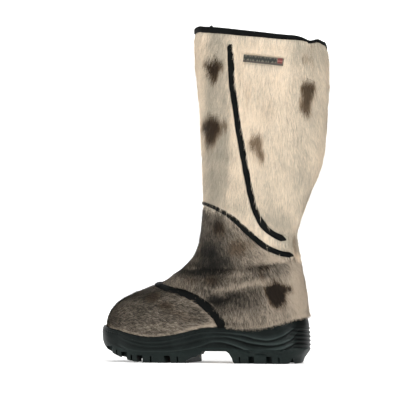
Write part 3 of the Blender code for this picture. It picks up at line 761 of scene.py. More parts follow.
def group_in(tree, name, build, inputs):
    """A node group's outputs. The group is built once, from a function of its tree and its inputs."""
    group = bpy.data.node_groups.get(name)
    if not group:
        group = bpy.data.node_groups.new(name, "ShaderNodeTree")
        kinds = {"VECTOR": "NodeSocketVector", "RGBA": "NodeSocketColor", "VALUE": "NodeSocketFloat"}
        for socket, value in inputs.items():
            kind = value.type if isinstance(value, bpy.types.NodeSocket) else (
                "RGBA" if isinstance(value, tuple) else "VALUE")
            group.interface.new_socket(socket, in_out="INPUT", socket_type=kinds[kind])
        made = build(group, group.nodes.new("NodeGroupInput").outputs)
        for socket, value in made.items():
            group.interface.new_socket(socket, in_out="OUTPUT", socket_type=kinds[value.type])
        plug(group, group.nodes.new("NodeGroupOutput"), made)
    return add(tree, "ShaderNodeGroup", inputs, node_tree=group).outputs


def finish(name, build, **given):
    """A material, built once by a function that returns what goes into its shader."""
    made = bpy.data.materials.get(name)
    if not made:
        made = bpy.data.materials.new(name)
        made.use_nodes = True
        tree = made.node_tree
        plug(tree, tree.nodes["Principled BSDF"], build(tree, **given))
    return made


def hair_colour(tree, given):
    """Pale hairs among deep ones by tone, spots, streaks along the hair and darker roots."""
    place, spot, shade = given["Place"], given["Spot"], given["Shade"]
    stretched = add(tree, "ShaderNodeMapping", {"Vector": place, "Scale": (520, 520, 170)}).outputs[0]
    streaks = noise_in(tree, stretched, 1.0, 3.0, Roughness=0.6)
    patches = noise_in(tree, place, 60.0, 3.0)
    swing = plus(tree, streaks, times(tree, patches, 0.4), times(tree, shade, 0.8), -1.1)
    level = math_node(tree, "ADD", times(tree, swing, given["Blend"]), given["Tone"], clamp=True)
    plain = mix_colour(tree, math_node(tree, "POWER", level, 2.0), given["Deep"], given["Pale"])
    uneven = mix_colour(tree, shade, (0.35, 0.35, 0.35, 1), (1.6, 1.6, 1.6, 1))
    tanned = tinted(tree, plain, (1.0, 0.80, 0.62, 1))
    spotted = mix_colour(tree, spot, mix_colour(tree, spot, plain, tanned),
                         tinted(tree, given["Spot Colour"], uneven))
    # Darker towards the root: partly the underfur's colour, partly painted shade among the locks.
    depth = soft_range(tree, given["Along"], 0.0, 0.7, given["Root"], 1.0, "LINEAR")
    return {"Color": tinted(tree, spotted, grey(tree, depth))}


def leather_grain(tree, given):
    """Leather grain: a height and a worn mask."""
    place = given["Vector"]
    cells = add(tree, "ShaderNodeTexVoronoi", {"Vector": place, "Scale": given["Size"]},
                feature="DISTANCE_TO_EDGE").outputs[0]
    wrinkles = noise_in(tree, place, 160.0, 4.0)
    return {"Height": plus(tree, soft_range(tree, cells, 0.0, 0.25), times(tree, wrinkles, 1.5)),
            "Wear": soft_range(tree, noise_in(tree, place, 45.0, 5.0), 0.42, 0.75)}


def rubber_skin(tree, given):
    """Moulded rubber: a fine skin as a height, and a dusty mask."""
    place = given["Vector"]
    fine, coarse = noise_in(tree, place, 1400.0, 2.0), noise_in(tree, place, 120.0, 3.0)
    cloud = noise_in(tree, place, 38.0, 6.0, Roughness=0.7)
    return {"Height": plus(tree, times(tree, fine, 0.6), coarse),
            "Dust": soft_range(tree, cloud, 0.45, 0.75)}


def hair(tree, pale, deep, spot, blend, root, roughness):
    read_in = {key: add(tree, "ShaderNodeAttribute", attribute_name=key).outputs
               for key in ("root", "tone", "spot", "shade", "along")}
    coloured = group_in(tree, "hair_colour", hair_colour, {
        "Place": read_in["root"]["Vector"],
        **{key.title(): read_in[key]["Fac"] for key in ("tone", "spot", "shade", "along")},
        "Pale": pale, "Deep": deep, "Spot Colour": spot, "Blend": blend, "Root": root})
    return {"Base Color": coloured["Color"], "Roughness": roughness, "Specular IOR Level": 0.16}


def leather(tree):
    base = bpy.context.scene.boot_colours.leather
    grain = group_in(tree, "grain", leather_grain, {"Vector": place_in(tree), "Size": 900.0})
    return {"Base Color": mix_colour(tree, grain["Wear"], rgb(base), rgb(base, 1.8, 0.002)),
            "Roughness": soft_range(tree, grain["Wear"], 0.0, 1.0, 0.5, 0.65),
            "Specular IOR Level": 0.05, "Normal": bump(tree, grain["Height"], 0.35, 0.0003)}


def felt(tree):
    base, place = bpy.context.scene.boot_colours.felt, place_in(tree)
    fibres = noise_in(tree, place, 900.0, 4.0, Distortion=1.5)
    mixed = plus(tree, times(tree, fibres, 0.6), times(tree, noise_in(tree, place, 60.0, 3.0), 0.4))
    coloured = mix_colour(tree, soft_range(tree, mixed, 0.3, 0.7), rgb(base, 0.7), rgb(base, 1.25))
    return {"Base Color": coloured, "Roughness": 0.95, "Sheen Weight": 0.3,
            "Normal": bump(tree, fibres, 0.5, 0.0005)}


def hard(tree, clean, dusty, roughness, grain=0.0, more=()):
    """Rubber, paint or steel, dusty in patches. A pair of roughnesses goes from clean to dusty."""
    skin = group_in(tree, "rubber_skin", rubber_skin, {"Vector": place_in(tree)})
    if isinstance(roughness, tuple):
        roughness = soft_range(tree, skin["Dust"], 0.0, 1.0, *roughness)
    made = {"Base Color": mix_colour(tree, skin["Dust"], clean, dusty), "Roughness": roughness, **dict(more)}
    if grain:
        made["Normal"] = bump(tree, skin["Height"], grain, 0.0002)
    return made


def rubber(tree, lighter, carved=False):
    """carved reads how far the sculpted wall stands out: ridges are worn paler and grooves are dark."""
    # A colour scaled above 1 is painted light on a lit part of the rubber.
    base = [c * lighter for c in bpy.context.scene.boot_colours.rubber]
    made = hard(tree, rgb(base), rgb(base, 1.5, 0.002), roughness=(0.40, 0.52), grain=0.2,
                more={"Specular IOR Level": 0.09})
    if carved:
        relief = add(tree, "ShaderNodeAttribute", attribute_name="relief").outputs["Fac"]
        ridges, grooves = soft_range(tree, relief, 0.45, 1.0), soft_range(tree, relief, 0.0, 0.42, 1.0, 0.0)
        # Painted highlight on the sculpted ridges, painted shade in the grooves.
        painted_ridge_highlight = mix_colour(tree, ridges, made["Base Color"], rgb(base, 4.2, 0.010))
        made["Base Color"] = mix_colour(tree, grooves, painted_ridge_highlight, rgb(base, 0.15))
    return made


def weave(tree):
    """The badge: a zigzag along a pale band, a plain red block at its end, and threads."""
    split = add(tree, "ShaderNodeSeparateXYZ", {0: add(tree, "ShaderNodeUVMap", uv_map="weave").outputs[0]})
    along, across = split.outputs[0], split.outputs[1]
    bent = times(tree, math_node(tree, "SINE", times(tree, along, 31.0)), 0.22)
    zig = math_node(tree, "PINGPONG", plus(tree, times(tree, along, 13.0), bent), 0.5)
    middle = plus(tree, times(tree, zig, 0.7), 0.44)
    off_line = math_node(tree, "ABSOLUTE", math_node(tree, "SUBTRACT", middle, across))
    dark = times(tree, soft_range(tree, off_line, 0.22, 0.32, 1.0, 0.0),
                 math_node(tree, "LESS_THAN", along, 0.84))
    block = times(tree, math_node(tree, "GREATER_THAN", along, 0.855),
                  math_node(tree, "LESS_THAN", along, 0.975), soft_range(tree, across, 0.24, 0.32))
    threads = times(tree, plus(tree, math_node(tree, "SINE", times(tree, along, 900.0)),
                               math_node(tree, "SINE", times(tree, across, 150.0))), 0.25)
    base = mix_colour(tree, soft_range(tree, across, 0.24, 0.30), (0.062, 0.052, 0.040, 1),
                      (0.13, 0.118, 0.086, 1))
    base = mix_colour(tree, dark, base, (0.013, 0.015, 0.011, 1))
    heart = soft_range(tree, math_node(tree, "ABSOLUTE", plus(tree, across, -0.58)), 0.05, 0.12, 1.0, 0.0)
    base = mix_colour(tree, block, base,
                      mix_colour(tree, heart, (0.13, 0.024, 0.020, 1), (0.27, 0.095, 0.080, 1)))
    return {"Base Color": tinted(tree, base, grey(tree, plus(tree, times(tree, threads, 0.5), 1.0))),
            "Roughness": 0.7, "Normal": bump(tree, threads, 0.6, 0.0003)}


def paper(tree, turn):
    """White studio paper that glows with distance, so the background stays white."""
    place = add(tree, "ShaderNodeSeparateXYZ", {0: place_in(tree)}).outputs
    back = plus(tree, times(tree, place[0], -math.sin(turn)), times(tree, place[1], math.cos(turn)))
    return {"Emission Color": grey(tree, soft_range(tree, back, 0.1, 1.4, 0.30, 1.0)),
            "Emission Strength": 1.0, "Base Color": (0.93, 0.925, 0.915, 1), "Roughness": 0.9,
            "Specular IOR Level": 0.0}


# ==== the coat ====
def mark_plane(points):
    """Places along the plane on which the marks are laid out. Both sides of the boot read the same way."""
    return turned(points[..., 0], np.abs(points[..., 1]), MARK_TURN)[0], points[..., 2]


def marks(points, table, ragged, darkest=False):
    """The summed strength of a table's marks, with their edges made ragged by noise."""
    s, z = mark_plane(points)
    ragged = ragged * (0.4 + 0.5 * step_between(130, 200, z))
    s = s + ragged * noise(points, (7, 7, 12), 2) + ragged * 0.6 * noise(points, (2.5, 2.5, 6), 3)
    z = z + ragged * 1.6 * noise(points, (7, 7, 9), 4)
    total = np.zeros(s.shape)
    for along, up, half_length, half_height, turn, strength, softness in table:
        a, b = turned(s - along, z - up, -turn)
        away = np.hypot(a / half_length, b / half_height)
        mark = strength * (1 - step_between(1 - softness, 1 + softness, away))
        total = np.maximum(total, mark) if darkest else total + mark
    return total


def spots_at(points):
    outer, inner = (marks(points, spots, SPOT_RAGGED, True) for spots in (OUTER_SPOTS, INNER_SPOTS))
    return np.where(points[..., 1] < 0, outer, inner)


def tones_at(points, region):
    """How pale the coat is at points, 0 to 1."""
    plain = REGIONS[region].tone
    wander = 0.10 * noise(points, (18, 18, 30), 5) + 0.06 * noise(points, (7, 7, 14), 6)
    if region == "shaft":
        return plain + marks(points, SHAFT_TONES, SHAFT_RAGGED) + 0.8 * wander
    above = over_rim(points)
    if region == "toe":
        edge = 0.34 * (1 - step_between(1.5, 6, above))
        return plain + marks(points, TOE_TONES, FOOT_RAGGED) + 0.5 * wander + edge
    s, _ = mark_plane(points)
    wander = wander - 0.14 * (1 - step_between(1, 9, above))
    # The crease relief adds painted shade in the creases' troughs and a painted highlight on their ridges.
    wander = 0.5 * wander + 0.05 * crease_relief(points[..., 0], points[..., 2])
    return (plain + 0.22 * step_between(15, 60, s) + 0.22 * step_between(60, 118, s)
            + marks(points, FOOT_TONES_AND_PAINTED_LIGHT, FOOT_RAGGED) + wander)


def cells_between(rim, collar):
    """The middles of the coat's cells, and which of them lie above the rim and below the collar."""
    p = coat.points
    beside = np.roll(p, -1, axis=1)
    middle = (p[:-1] + p[1:] + beside[:-1] + beside[1:]) / 4
    return middle, (over_rim(middle) > rim) & (middle[..., 2] < collar_height(middle) - collar)


def region_masks():
    """Which cells of the coat's grid belong to the shaft, the foot and the toe cap."""
    middle, coat_cells_and_heel_light = cells_between(-9, 3)
    x, z = middle[..., 0], middle[..., 2]
    shaft = z > read(ANKLE_SEAM, x)
    toe = ~shaft & (z < read(TOE_SEAM, x))
    return {"shaft": shaft & coat_cells_and_heel_light, "foot": ~shaft & ~toe & coat_cells_and_heel_light, "toe": toe & coat_cells_and_heel_light}


def shell(name, mask, outer, inner, material):
    """A closed wall over some cells of the coat, from outer to inner below its surface."""
    corner = grid_faces(coat.rows, coat.columns)[mask.ravel()]
    total = coat.rows * coat.columns
    faces = [corner, corner[:, ::-1] + total]
    fenced = np.pad(mask, ((1, 1), (0, 0)))
    beside = (fenced[:-2], np.roll(mask, -1, axis=1), fenced[2:], np.roll(mask, 1, axis=1))
    for k, neighbour in enumerate(beside):
        a, b = corner[~neighbour[mask]][:, (k, (k + 1) % 4)].T
        faces.append(np.stack([b, a, a + total, b + total], axis=1))
    used, renumbered = np.unique(np.concatenate(faces), return_inverse=True)
    outer = coat.points - coat.normals * np.broadcast_to(outer, coat.points.shape[:2])[..., None]
    points = np.stack([outer, coat.points - coat.normals * inner]).reshape(-1, 3)[used]
    return mesh_piece(name, points, [renumbered.reshape(-1, 4)], material), points


def hide_depth(points):
    """The hide lies under the hair, and deeper where it stands inside the cup."""
    return HIDE + HIDE_TUCK * (1 - step_between(-1, 5, over_rim(points)))


def coat_finish(region):
    colours = bpy.context.scene.boot_colours
    if region == "shaft":
        return finish("fur_shaft_finish", hair, pale=rgb(colours.cream), deep=rgb(colours.ash),
                      spot=rgb(colours.spot), blend=0.7, root=0.72, roughness=0.6)
    return finish("fur_foot_finish", hair, pale=rgb(colours.silver), deep=rgb(colours.umber),
                  spot=rgb(colours.spot, 0.45), blend=1.0, root=0.42, roughness=0.55)


def store_coat(piece, region, places, tone, spot, shade, along):
    """What the coat's finish reads. Places are turned so that the hair lies along their third axis."""
    x, z = turned(places[:, 0], places[:, 2], -REGIONS[region].comb)
    store(piece, "root", to_row(np.stack([x, places[:, 1], z], axis=-1)), "FLOAT_VECTOR")
    for name, values in (("tone", tone), ("spot", spot), ("shade", shade), ("along", along)):
        store(piece, name, values)


def make_hides():
    masks = region_masks()
    for region, (node, slot, *_) in REGIONS.items():
        made, points = shell(f"{node}_hide", masks[region], hide_depth(coat.points), HIDE_BACK,
                             coat_finish(region))
        # The hide reads a darker lock near its root: painted shade down among the hair.
        store_coat(made, region, points, tones_at(points, region), spots_at(points),
                   np.full(len(points), HIDE_SHADE), np.full(len(points), HIDE_ALONG))
        give(made, "boot", slot, node)


def make_lining():
    """Felt inside the boot, from the insole up to the binding."""
    _, inside = cells_between(-12, 4)
    made, _ = shell("felt_lining", inside, LINING, LINING_BACK, finish("felt_finish", felt))
    give(made, "boot", "fur_shaft")


# ---- hair ----
def flow_at(points, region):
    """The way the hair lies, before it is laid on the surface."""
    x, z = points[..., 0], points[..., 2]
    flow = np.zeros_like(points)
    flow[..., 2] = -1.0
    if region == "toe":
        flow[..., 0] = 1.0
        flow[..., 2] = -0.12 - 0.25 * step_between(70, 100, z)
    elif region == "foot":
        flow[..., 0] = (0.36 + 0.16 * noise(points, 22, 7)
                        + 0.35 * step_between(118, 142, z) * step_between(30, 65, x))
    else:
        flow[..., 0] = 0.03 + 0.06 * noise(points, 40, 8)
    return flow


def seam_tree(*paths):
    """A tree of places along seams, for finding how near a lock of hair comes to them."""
    places = np.concatenate([dense(path)[0] for path in paths])
    tree = KDTree(len(places))
    for index, place in enumerate(places):
        tree.insert(place, index)
    tree.balance()
    return tree


def distance_to(tree, points):
    return np.array([tree.find(point)[2] for point in points])


def trim_at(tree, roots, tips, keep_off):
    """The share of each lock that is left when it is cut where it comes within keep_off of a seam."""
    share = np.ones(len(roots))
    near = distance_to(tree, roots)
    close = np.nonzero(near < NEAR_STRIP)[0]
    for t in (1.0, 0.8, 0.6, 0.4, 0.2):
        away = distance_to(tree, roots[close] + (tips[close] - roots[close]) * t)
        share[close] = np.where(away < keep_off[close], max(t - 0.2, 0), share[close])
    share[near < keep_off] = 0
    return share


def grow(region, side, count, hair_length, rng):
    """Locks of hair over one region on one side: roots, reaches, normals and shades."""
    p = coat.points
    mask = region_masks()[region]
    mask[:, AROUND // 2:] &= side > 0
    mask[:, :AROUND // 2] &= side < 0
    cell = np.linalg.norm(np.cross(p[1:] - p[:-1], (np.roll(p, -1, axis=1) - p)[:-1]), axis=-1) * mask
    chosen = rng.choice(cell.size, count, p=(cell / cell.sum()).ravel())
    row = chosen // AROUND + rng.random(count)
    column = chosen % AROUND + rng.random(count)
    order = np.lexsort((column, row.astype(int)))
    place, normal = coat.at(row[order], column[order])
    under_collar = collar_height(place) - place[:, 2]
    binding = read(BINDING_HEIGHTS, place[:, 0])
    kept = (over_rim(place) > RIM_CLEAR) & (under_collar > binding - BINDING_TUCK)
    place, normal = place[kept], normal[kept]
    flow = unit(flow_at(place, region))
    flow = flow - normal * dot(flow, normal)
    laid = step_between(0.25, 0.9, np.linalg.norm(flow, axis=1))
    flow = unit(flow)
    swing = sum(far * noise(place, size, seed) for far, size, seed in SWINGS)
    swing = swing + rng.normal(0, SWING_SCATTER, len(place))
    flow = unit(flow + np.cross(normal, flow) * swing[:, None])
    astray = ASTRAY_LIFT * (rng.random(len(place)) < ASTRAY_SHARE)
    scatter = rng.normal(0, LIFT_SCATTER, len(place))
    lift = np.radians(LIFT + LIFT_WANDER * noise(place, 6, 12) + scatter + astray).clip(*LIFT_LIMITS)
    lift *= 0.15 + 0.85 * laid
    long = 1 + 0.12 * noise(place, 10, 13) + rng.normal(0, LONG_SCATTER, len(place))
    way = flow * np.cos(lift)[:, None] + normal * np.sin(lift)[:, None]
    root = place - normal * (hide_depth(place) + 0.1)[:, None]
    return root, way * (hair_length * long.clip(*LONG_LIMITS))[:, None], normal, rng.random(len(place))


def trimmed(region, root, reach, normal, sizes, above, trees):
    """The share of each lock that is left at the strips, the badge and the rim, which it starts above."""
    x = root[:, 0]
    hanging = region == "shaft"       # over the ankle's strip, however far they stand off
    ragged = sizes**5 * (1.7 + 2.4 * step_between(85, 105, x))
    keep_off = {
        "shaft": read(SHAFT_SEAM_WIDTHS, root[:, 2]) / 2 + 0.4 - sizes**2 * 1.1,
        "ankle": 1.5 + 2.1 * step_between(45, 95, x) - ragged if hanging else np.full(len(x), 3.4),
        "toe": read(TOE_SEAM_WIDTHS, x) / 2 - 0.4 - sizes**8 * 3.0,
    }
    share = np.ones(len(root))
    for name in REGIONS[region].strips:
        over = HIDE - dot(reach, normal) if hanging and name == "ankle" else HIDE / 2
        left = trim_at(trees[name], root + normal * HIDE, root + reach + normal * over, keep_off[name])
        share = np.minimum(share, left)
    along, across = turned(x - BADGE["x"], root[:, 2] - BADGE["z"], -BADGE["turn"])
    beside = (np.abs(along) < BADGE["length"] / 2) & (root[:, 1] < 0)
    on_badge = beside & (np.abs(across) < BADGE["height"] / 2)
    above_badge = beside & (across > 0) & (across < ABOVE_BADGE) & ~on_badge
    room = (across - BADGE["height"] / 2 + 0.8 * sizes) / np.maximum(np.linalg.norm(reach, axis=1), 1)
    share = np.where(on_badge, 0, np.where(above_badge, np.minimum(share, room), share))
    fall = -reach[:, 2]
    hang = -0.8 + 5.4 * sizes**7 if region == "foot" else 0.3
    return np.where(fall > 0.5, np.minimum(share, (above + hang) / np.maximum(fall, 0.5)), share)


def make_coat(region, side, count, hair_length, width, rng, trees):
    """One side of a region's hair, cut back at the strips, the badge and the rim."""
    root, reach, normal, shade = grow(region, side, count, hair_length, rng)
    sizes = rng.random(len(root))
    above = over_rim(root + reach * (0.5, 0, 0))
    share = trimmed(region, root, reach, normal, sizes, above, trees)
    kept = share > SHORTEST
    root, normal, shade, sizes, above = (each[kept] for each in (root, normal, shade, sizes, above))
    reach = reach[kept] * share[kept][:, None]
    near_rim = np.clip(3.0 - (over_rim(root) + reach[:, 2]), 0, 4)
    reach = reach + normal * (near_rim * (0.9 if region == "foot" else 0.3))[:, None]
    n = len(root)
    seen = root + reach * rng.uniform(0.2, 1.1, n)[:, None] + rng.normal(0, 0.5, root.shape)
    tone = tones_at(root + reach * rng.uniform(0.45, 0.85, n)[:, None], region)
    if region == "foot":
        tone += 0.45 * sizes**6 * (1 - step_between(4, 11, above))
    aside = unit(np.cross(normal, reach)) * width / 2
    corners = np.stack([root + aside, root - aside, root + reach], axis=1).reshape(-1, 3)
    node, slot, *_ = REGIONS[region]
    made = mesh_piece(f"{node}_hair_{'outer' if side < 0 else 'inner'}", corners,
                      [np.arange(len(corners)).reshape(-1, 3)], coat_finish(region))
    store_coat(made, region, *(np.repeat(each, 3, axis=0) for each in (root, tone, spots_at(seen), shade)),
               np.tile((0.0, 0.0, 1.0), n))
    across = math.ceil(math.sqrt(n))
    cell = np.stack([np.arange(n) % across, np.arange(n) // across], axis=1)[:, None]
    corner = np.array([(0.1, 0.1), (0.9, 0.1), (0.5, 0.9)])[None]
    layer = made.data.uv_layers.new(name="OFBake")
    layer.uv.foreach_set("vector", ((cell + corner) / across).astype(np.float32).ravel())
    tilt = unit(normal + rng.normal(0, SHADING_SCATTER, normal.shape))
    made.data.normals_split_custom_set_from_vertices(np.repeat(tilt, 3, axis=0).tolist())
    give(made, "boot", slot)


def make_hair():
    sizes = bpy.context.scene.boot_sizes
    paths = seam_paths()
    trees = {"ankle": seam_tree(paths["ankle"]), "toe": seam_tree(paths["toe"]),
             "shaft": seam_tree(paths["shaft_outer"], paths["shaft_inner"])}
    rng = np.random.default_rng(SEED)
    thin = 1.0
    for region, side in itertools.product(REGIONS, (-1, 1)):
        make_coat(region, side, int(REGIONS[region].locks * thin), getattr(sizes, f"{region}_hair") / MM,
                  sizes.hair_width / MM / thin**0.5, rng, trees)


# ==== leather strips ====
def strip(name, path, width, height):
    """A soft leather strip along a path on the coat, narrowing to its ends. width is read at points."""
    points, normals = dense(path)
    ahead, behind = np.vstack([points[1:], points[-1:]]), np.vstack([points[:1], points[:-1]])
    aside = unit(np.cross(normals, ahead - behind))
    angles = np.linspace(0, math.pi, STRIP_POINTS)
    across = np.concatenate([np.cos(angles), [-0.9, 0.9]])
    high = np.concatenate([np.sin(angles) ** 0.6, [-0.35, -0.35]])
    n, around = len(points), len(across)
    steps = np.arange(n) * STRIP_STEP
    end = np.clip(np.minimum(steps / 5.0 + 0.25, steps[::-1] / 9.0 + 0.1), 0, 1) ** 0.7
    half = width(points) / 2 * end * (1 + 0.10 * noise(points, 9, 14) + 0.05 * noise(points, 3, 15))
    tall = height * end * (1 + 0.12 * noise(points, 7, 16))
    drift = 0.35 * noise(points, 14, 17)
    rings = (points[:, None] + aside[:, None] * (across * half[:, None] + drift[:, None])[..., None]
             + normals[:, None] * (high * tall[:, None] - STRIP_SUNK)[..., None])
    k = np.arange(around)
    k1, last, ends = (k + 1) % around, (n - 1) * around, n * around
    caps = [np.stack([np.full(around, ends), k1, k], axis=1),
            np.stack([np.full(around, ends + 1), last + k, last + k1], axis=1)]
    places = np.concatenate([rings.reshape(-1, 3), rings[0].mean(0)[None], rings[-1].mean(0)[None]])
    made = mesh_piece(name, places, [grid_faces(n, around), *caps], finish("binding_leather_finish", leather))
    face_out(made)
    give(made, "boot", "binding_leather")


def make_piping():
    sizes = bpy.context.scene.boot_sizes
    paths = seam_paths()

    def on_shaft(points):
        return read(SHAFT_SEAM_WIDTHS, points[:, 2]) * sizes.piping / PIPING

    def at_ankle(points):
        return sizes.seam_piping / MM * (0.72 + 0.34 * step_between(10, 60, points[:, 0]))

    def at_toe(points):
        return read(TOE_SEAM_WIDTHS, points[:, 0]) * sizes.toe_piping / TOE_PIPING

    strip("shaft_piping_outer", paths["shaft_outer"], on_shaft, PIPING_HEIGHTS["shaft"])
    strip("shaft_piping_inner", paths["shaft_inner"], on_shaft, PIPING_HEIGHTS["shaft"])
    strip("ankle_piping", paths["ankle"], at_ankle, PIPING_HEIGHTS["ankle"])
    strip("toe_piping", paths["toe"], at_toe, PIPING_HEIGHTS["toe"])


def make_binding():
    """Leather folded over the top edge, with a rounded fold and soft wrinkles."""
    column = np.arange(0, AROUND, 0.5)
    rows = coat.crossing(collar_height(coat.points))
    rows = smooth(np.arange(AROUND + 1), np.append(rows, rows[0]), column)
    top, normals = coat.at(rows, column)
    down = unit(coat.at(rows - 3.0, column)[0] - top)
    x = top[:, 0]
    high = read(BINDING_HEIGHTS, x) * bpy.context.scene.boot_sizes.binding / BINDING
    overlap = bell(x - BINDING_ENDS_AT, 1.3) * (top[:, 1] < 0)
    thin = step_between(140, 165, x)
    proud = -0.5 + 0.25 * noise(top, (9, 9, 9), 18) + 0.5 * overlap - 0.7 * thin
    wall, fold = BINDING_WALL - 1.6 * thin, BINDING_FOLD - 1.2 * thin

    def ring(out, drop):
        return top + normals * out[:, None] + down * drop[:, None]

    rings = [ring(proud - back, high * share) for share, back in BINDING_OUTSIDE]
    for angle_round in np.linspace(0, math.pi, 9):
        out = -wall / 2 + (wall / 2 + proud) * math.cos(angle_round)
        rings.append(ring(out, fold * (1 - math.sin(angle_round)) - 2.2 * overlap))
    rings += [ring(back - wall - proud, high * share) for share, back in BINDING_INSIDE]
    rings = np.stack(rings, axis=1)
    n, m = rings.shape[:2]
    made = mesh_piece("top_binding", rings.reshape(-1, 3), [grid_faces(n + 1, m) % (n * m)],
                      finish("binding_leather_finish", leather))
    face_out(made)
    give(made, "boot", "binding_leather", "collar_binding")


# ==== badge ====
def make_badge():
    """A woven tab with a raised border, laid on the coat."""
    long, tall = BADGE_CELLS
    upper, lower, uvs = [], [], []
    for t, s in itertools.product(np.linspace(-0.5, 0.5, tall + 1), np.linspace(-0.5, 0.5, long + 1)):
        x, z = turned(s * BADGE["length"], t * BADGE["height"], BADGE["turn"])
        place, normal = coat.at(*coat.lookup(BADGE["x"] + x, BADGE["z"] + z, -1))
        edge = max(abs(s) * 2, 1 - (1 - abs(t) * 2) * BADGE["height"] / BADGE["length"])
        upper.append(place + normal * (BADGE_TOP + BADGE_BORDER * (edge > 0.955)))
        lower.append(place + normal * BADGE_UNDER)
        uvs.append((s + 0.5, t + 0.5))
    n = len(upper)
    index = np.arange(n).reshape(tall + 1, long + 1)
    ring = np.concatenate([index[0, :-1], index[:-1, -1], index[-1, :0:-1], index[:0:-1, 0]])
    ahead = np.roll(ring, -1)
    faces = grid_faces(tall + 1, long + 1, closed=False)
    sides = np.stack([ring, ring + n, ahead + n, ahead], axis=1)
    made = mesh_piece("woven_badge", np.array(upper + lower), [faces, faces[:, ::-1] + n, sides],
                      finish("badge_weave_finish", weave))
    layer = made.data.uv_layers.new(name="weave")
    corner = np.empty(len(made.data.loops), np.int32)
    made.data.loops.foreach_get("vertex_index", corner)
    layer.uv.foreach_set("vector", np.array(uvs * 2, np.float32)[corner].ravel())
    face_out(made)
    give(made, "boot", "badge_weave", "badge")


# ==== the sole ====
def sole_at(x):
    """The sole's row at x, as a dict."""
    table = np.array(SOLE)
    row = dict(zip(("lateral", "medial", "bottom", "parting", "rim"), smooth(table[:, 0], table[:, 1:], x).T))
    row["bottom"] = np.maximum(row["bottom"], 0)
    return row


def sole_ring(turn, inset, heel_inset):
    """The sole's outline at angles turn, from the heel along the outer side to the toe and back."""
    inset = inset + heel_inset * step_between(0.75, 1.0, np.cos(turn))
    end = HALF_SOLE - inset
    x = end * np.cos(turn)
    row = sole_at(x)
    heel, heel_n = HEEL_ROUND
    toe, toe_n = TOE_ROUND
    past_heel = np.clip((x - heel) / (end - heel), 0, 1)
    past_toe = np.clip((toe - x) / (toe + end), 0, 1)
    ends = (1 - past_heel**heel_n) ** (1 / heel_n) * (1 - past_toe**toe_n) ** (1 / toe_n)
    y = np.where(np.sin(turn) >= 0, -(row["lateral"] - inset), row["medial"] - inset) * ends
    return x, y, row


def sculpt(x, z, rim):
    """How far the sole's side stands out: flowing ridges, a stitched groove under the rim, ribs at the heel."""
    out = np.zeros_like(x)
    heel = step_between(10, 90, x)
    for at_toe, at_heel, line in FLOW_LINES:
        first, last = line[0][0], line[-1][0]
        inside = step_between(first - 2, first + 8, x) * (1 - step_between(last - 6, last + 2, x))
        d = z - read(line, x)
        rise = bell(d, 1.5) - 0.85 * bell(d + 2.6, 1.2) + 0.35 * bell(d - 3.2, 2.2)
        out += inside * FLOW_HEIGHT * (at_toe + (at_heel - at_toe) * heel) * rise
    dots = 0.5 + 0.5 * np.cos(2 * math.pi * x / STITCH_PITCH)
    out -= (1 - step_between(60, 84, x)) * (0.9 * dots + 0.25) * bell(z - (rim - STITCH_DROP), 0.8)
    out -= 0.5 * bell(z - rim + 2.6, 0.7)
    rib = np.cos(2 * math.pi * (z - 20.0) / RIB_PITCH)
    return out + step_between(128, 142, x) * 0.9 * rib * step_between(15, 19, z) * (1 - step_between(48, 52, z))


def sculpted_ring(x, y, z, rim, share):
    """A ring with share of the sculpting, and how far that stands out."""
    push = sculpt(x, z, rim) * share
    n = unit(np.stack([np.roll(y, 1) - np.roll(y, -1), np.roll(x, -1) - np.roll(x, 1)], axis=-1))
    if (n[:, 0] * x + n[:, 1] * y).sum() < 0:
        n = -n
    return np.stack([x + n[:, 0] * push, y + n[:, 1] * push, z], axis=1), push


def cap_faces(count, base, flip):
    """Quads across a ring whose two sides mirror each other, closing it."""
    half = count // 2
    k = np.arange(1, half - 1)
    other = count - k
    quads = np.stack([base + k, base + k + 1, base + other - 1, base + other], axis=1)
    tris = np.array([(base, base + 1, base + count - 1), (base + half - 1, base + half, base + half + 1)])
    return (quads[:, ::-1], tris[:, ::-1]) if flip else (quads, tris)


def closed_rings(name, rings, material, smooth_faces=True):
    """A closed piece over rings of as many points."""
    count = len(rings[0])
    last = (len(rings) - 1) * count
    faces = [grid_faces(len(rings), count), *cap_faces(count, 0, False), *cap_faces(count, last, True)]
    made = mesh_piece(name, np.concatenate(rings), faces, material, smooth_faces)
    face_out(made)
    return made


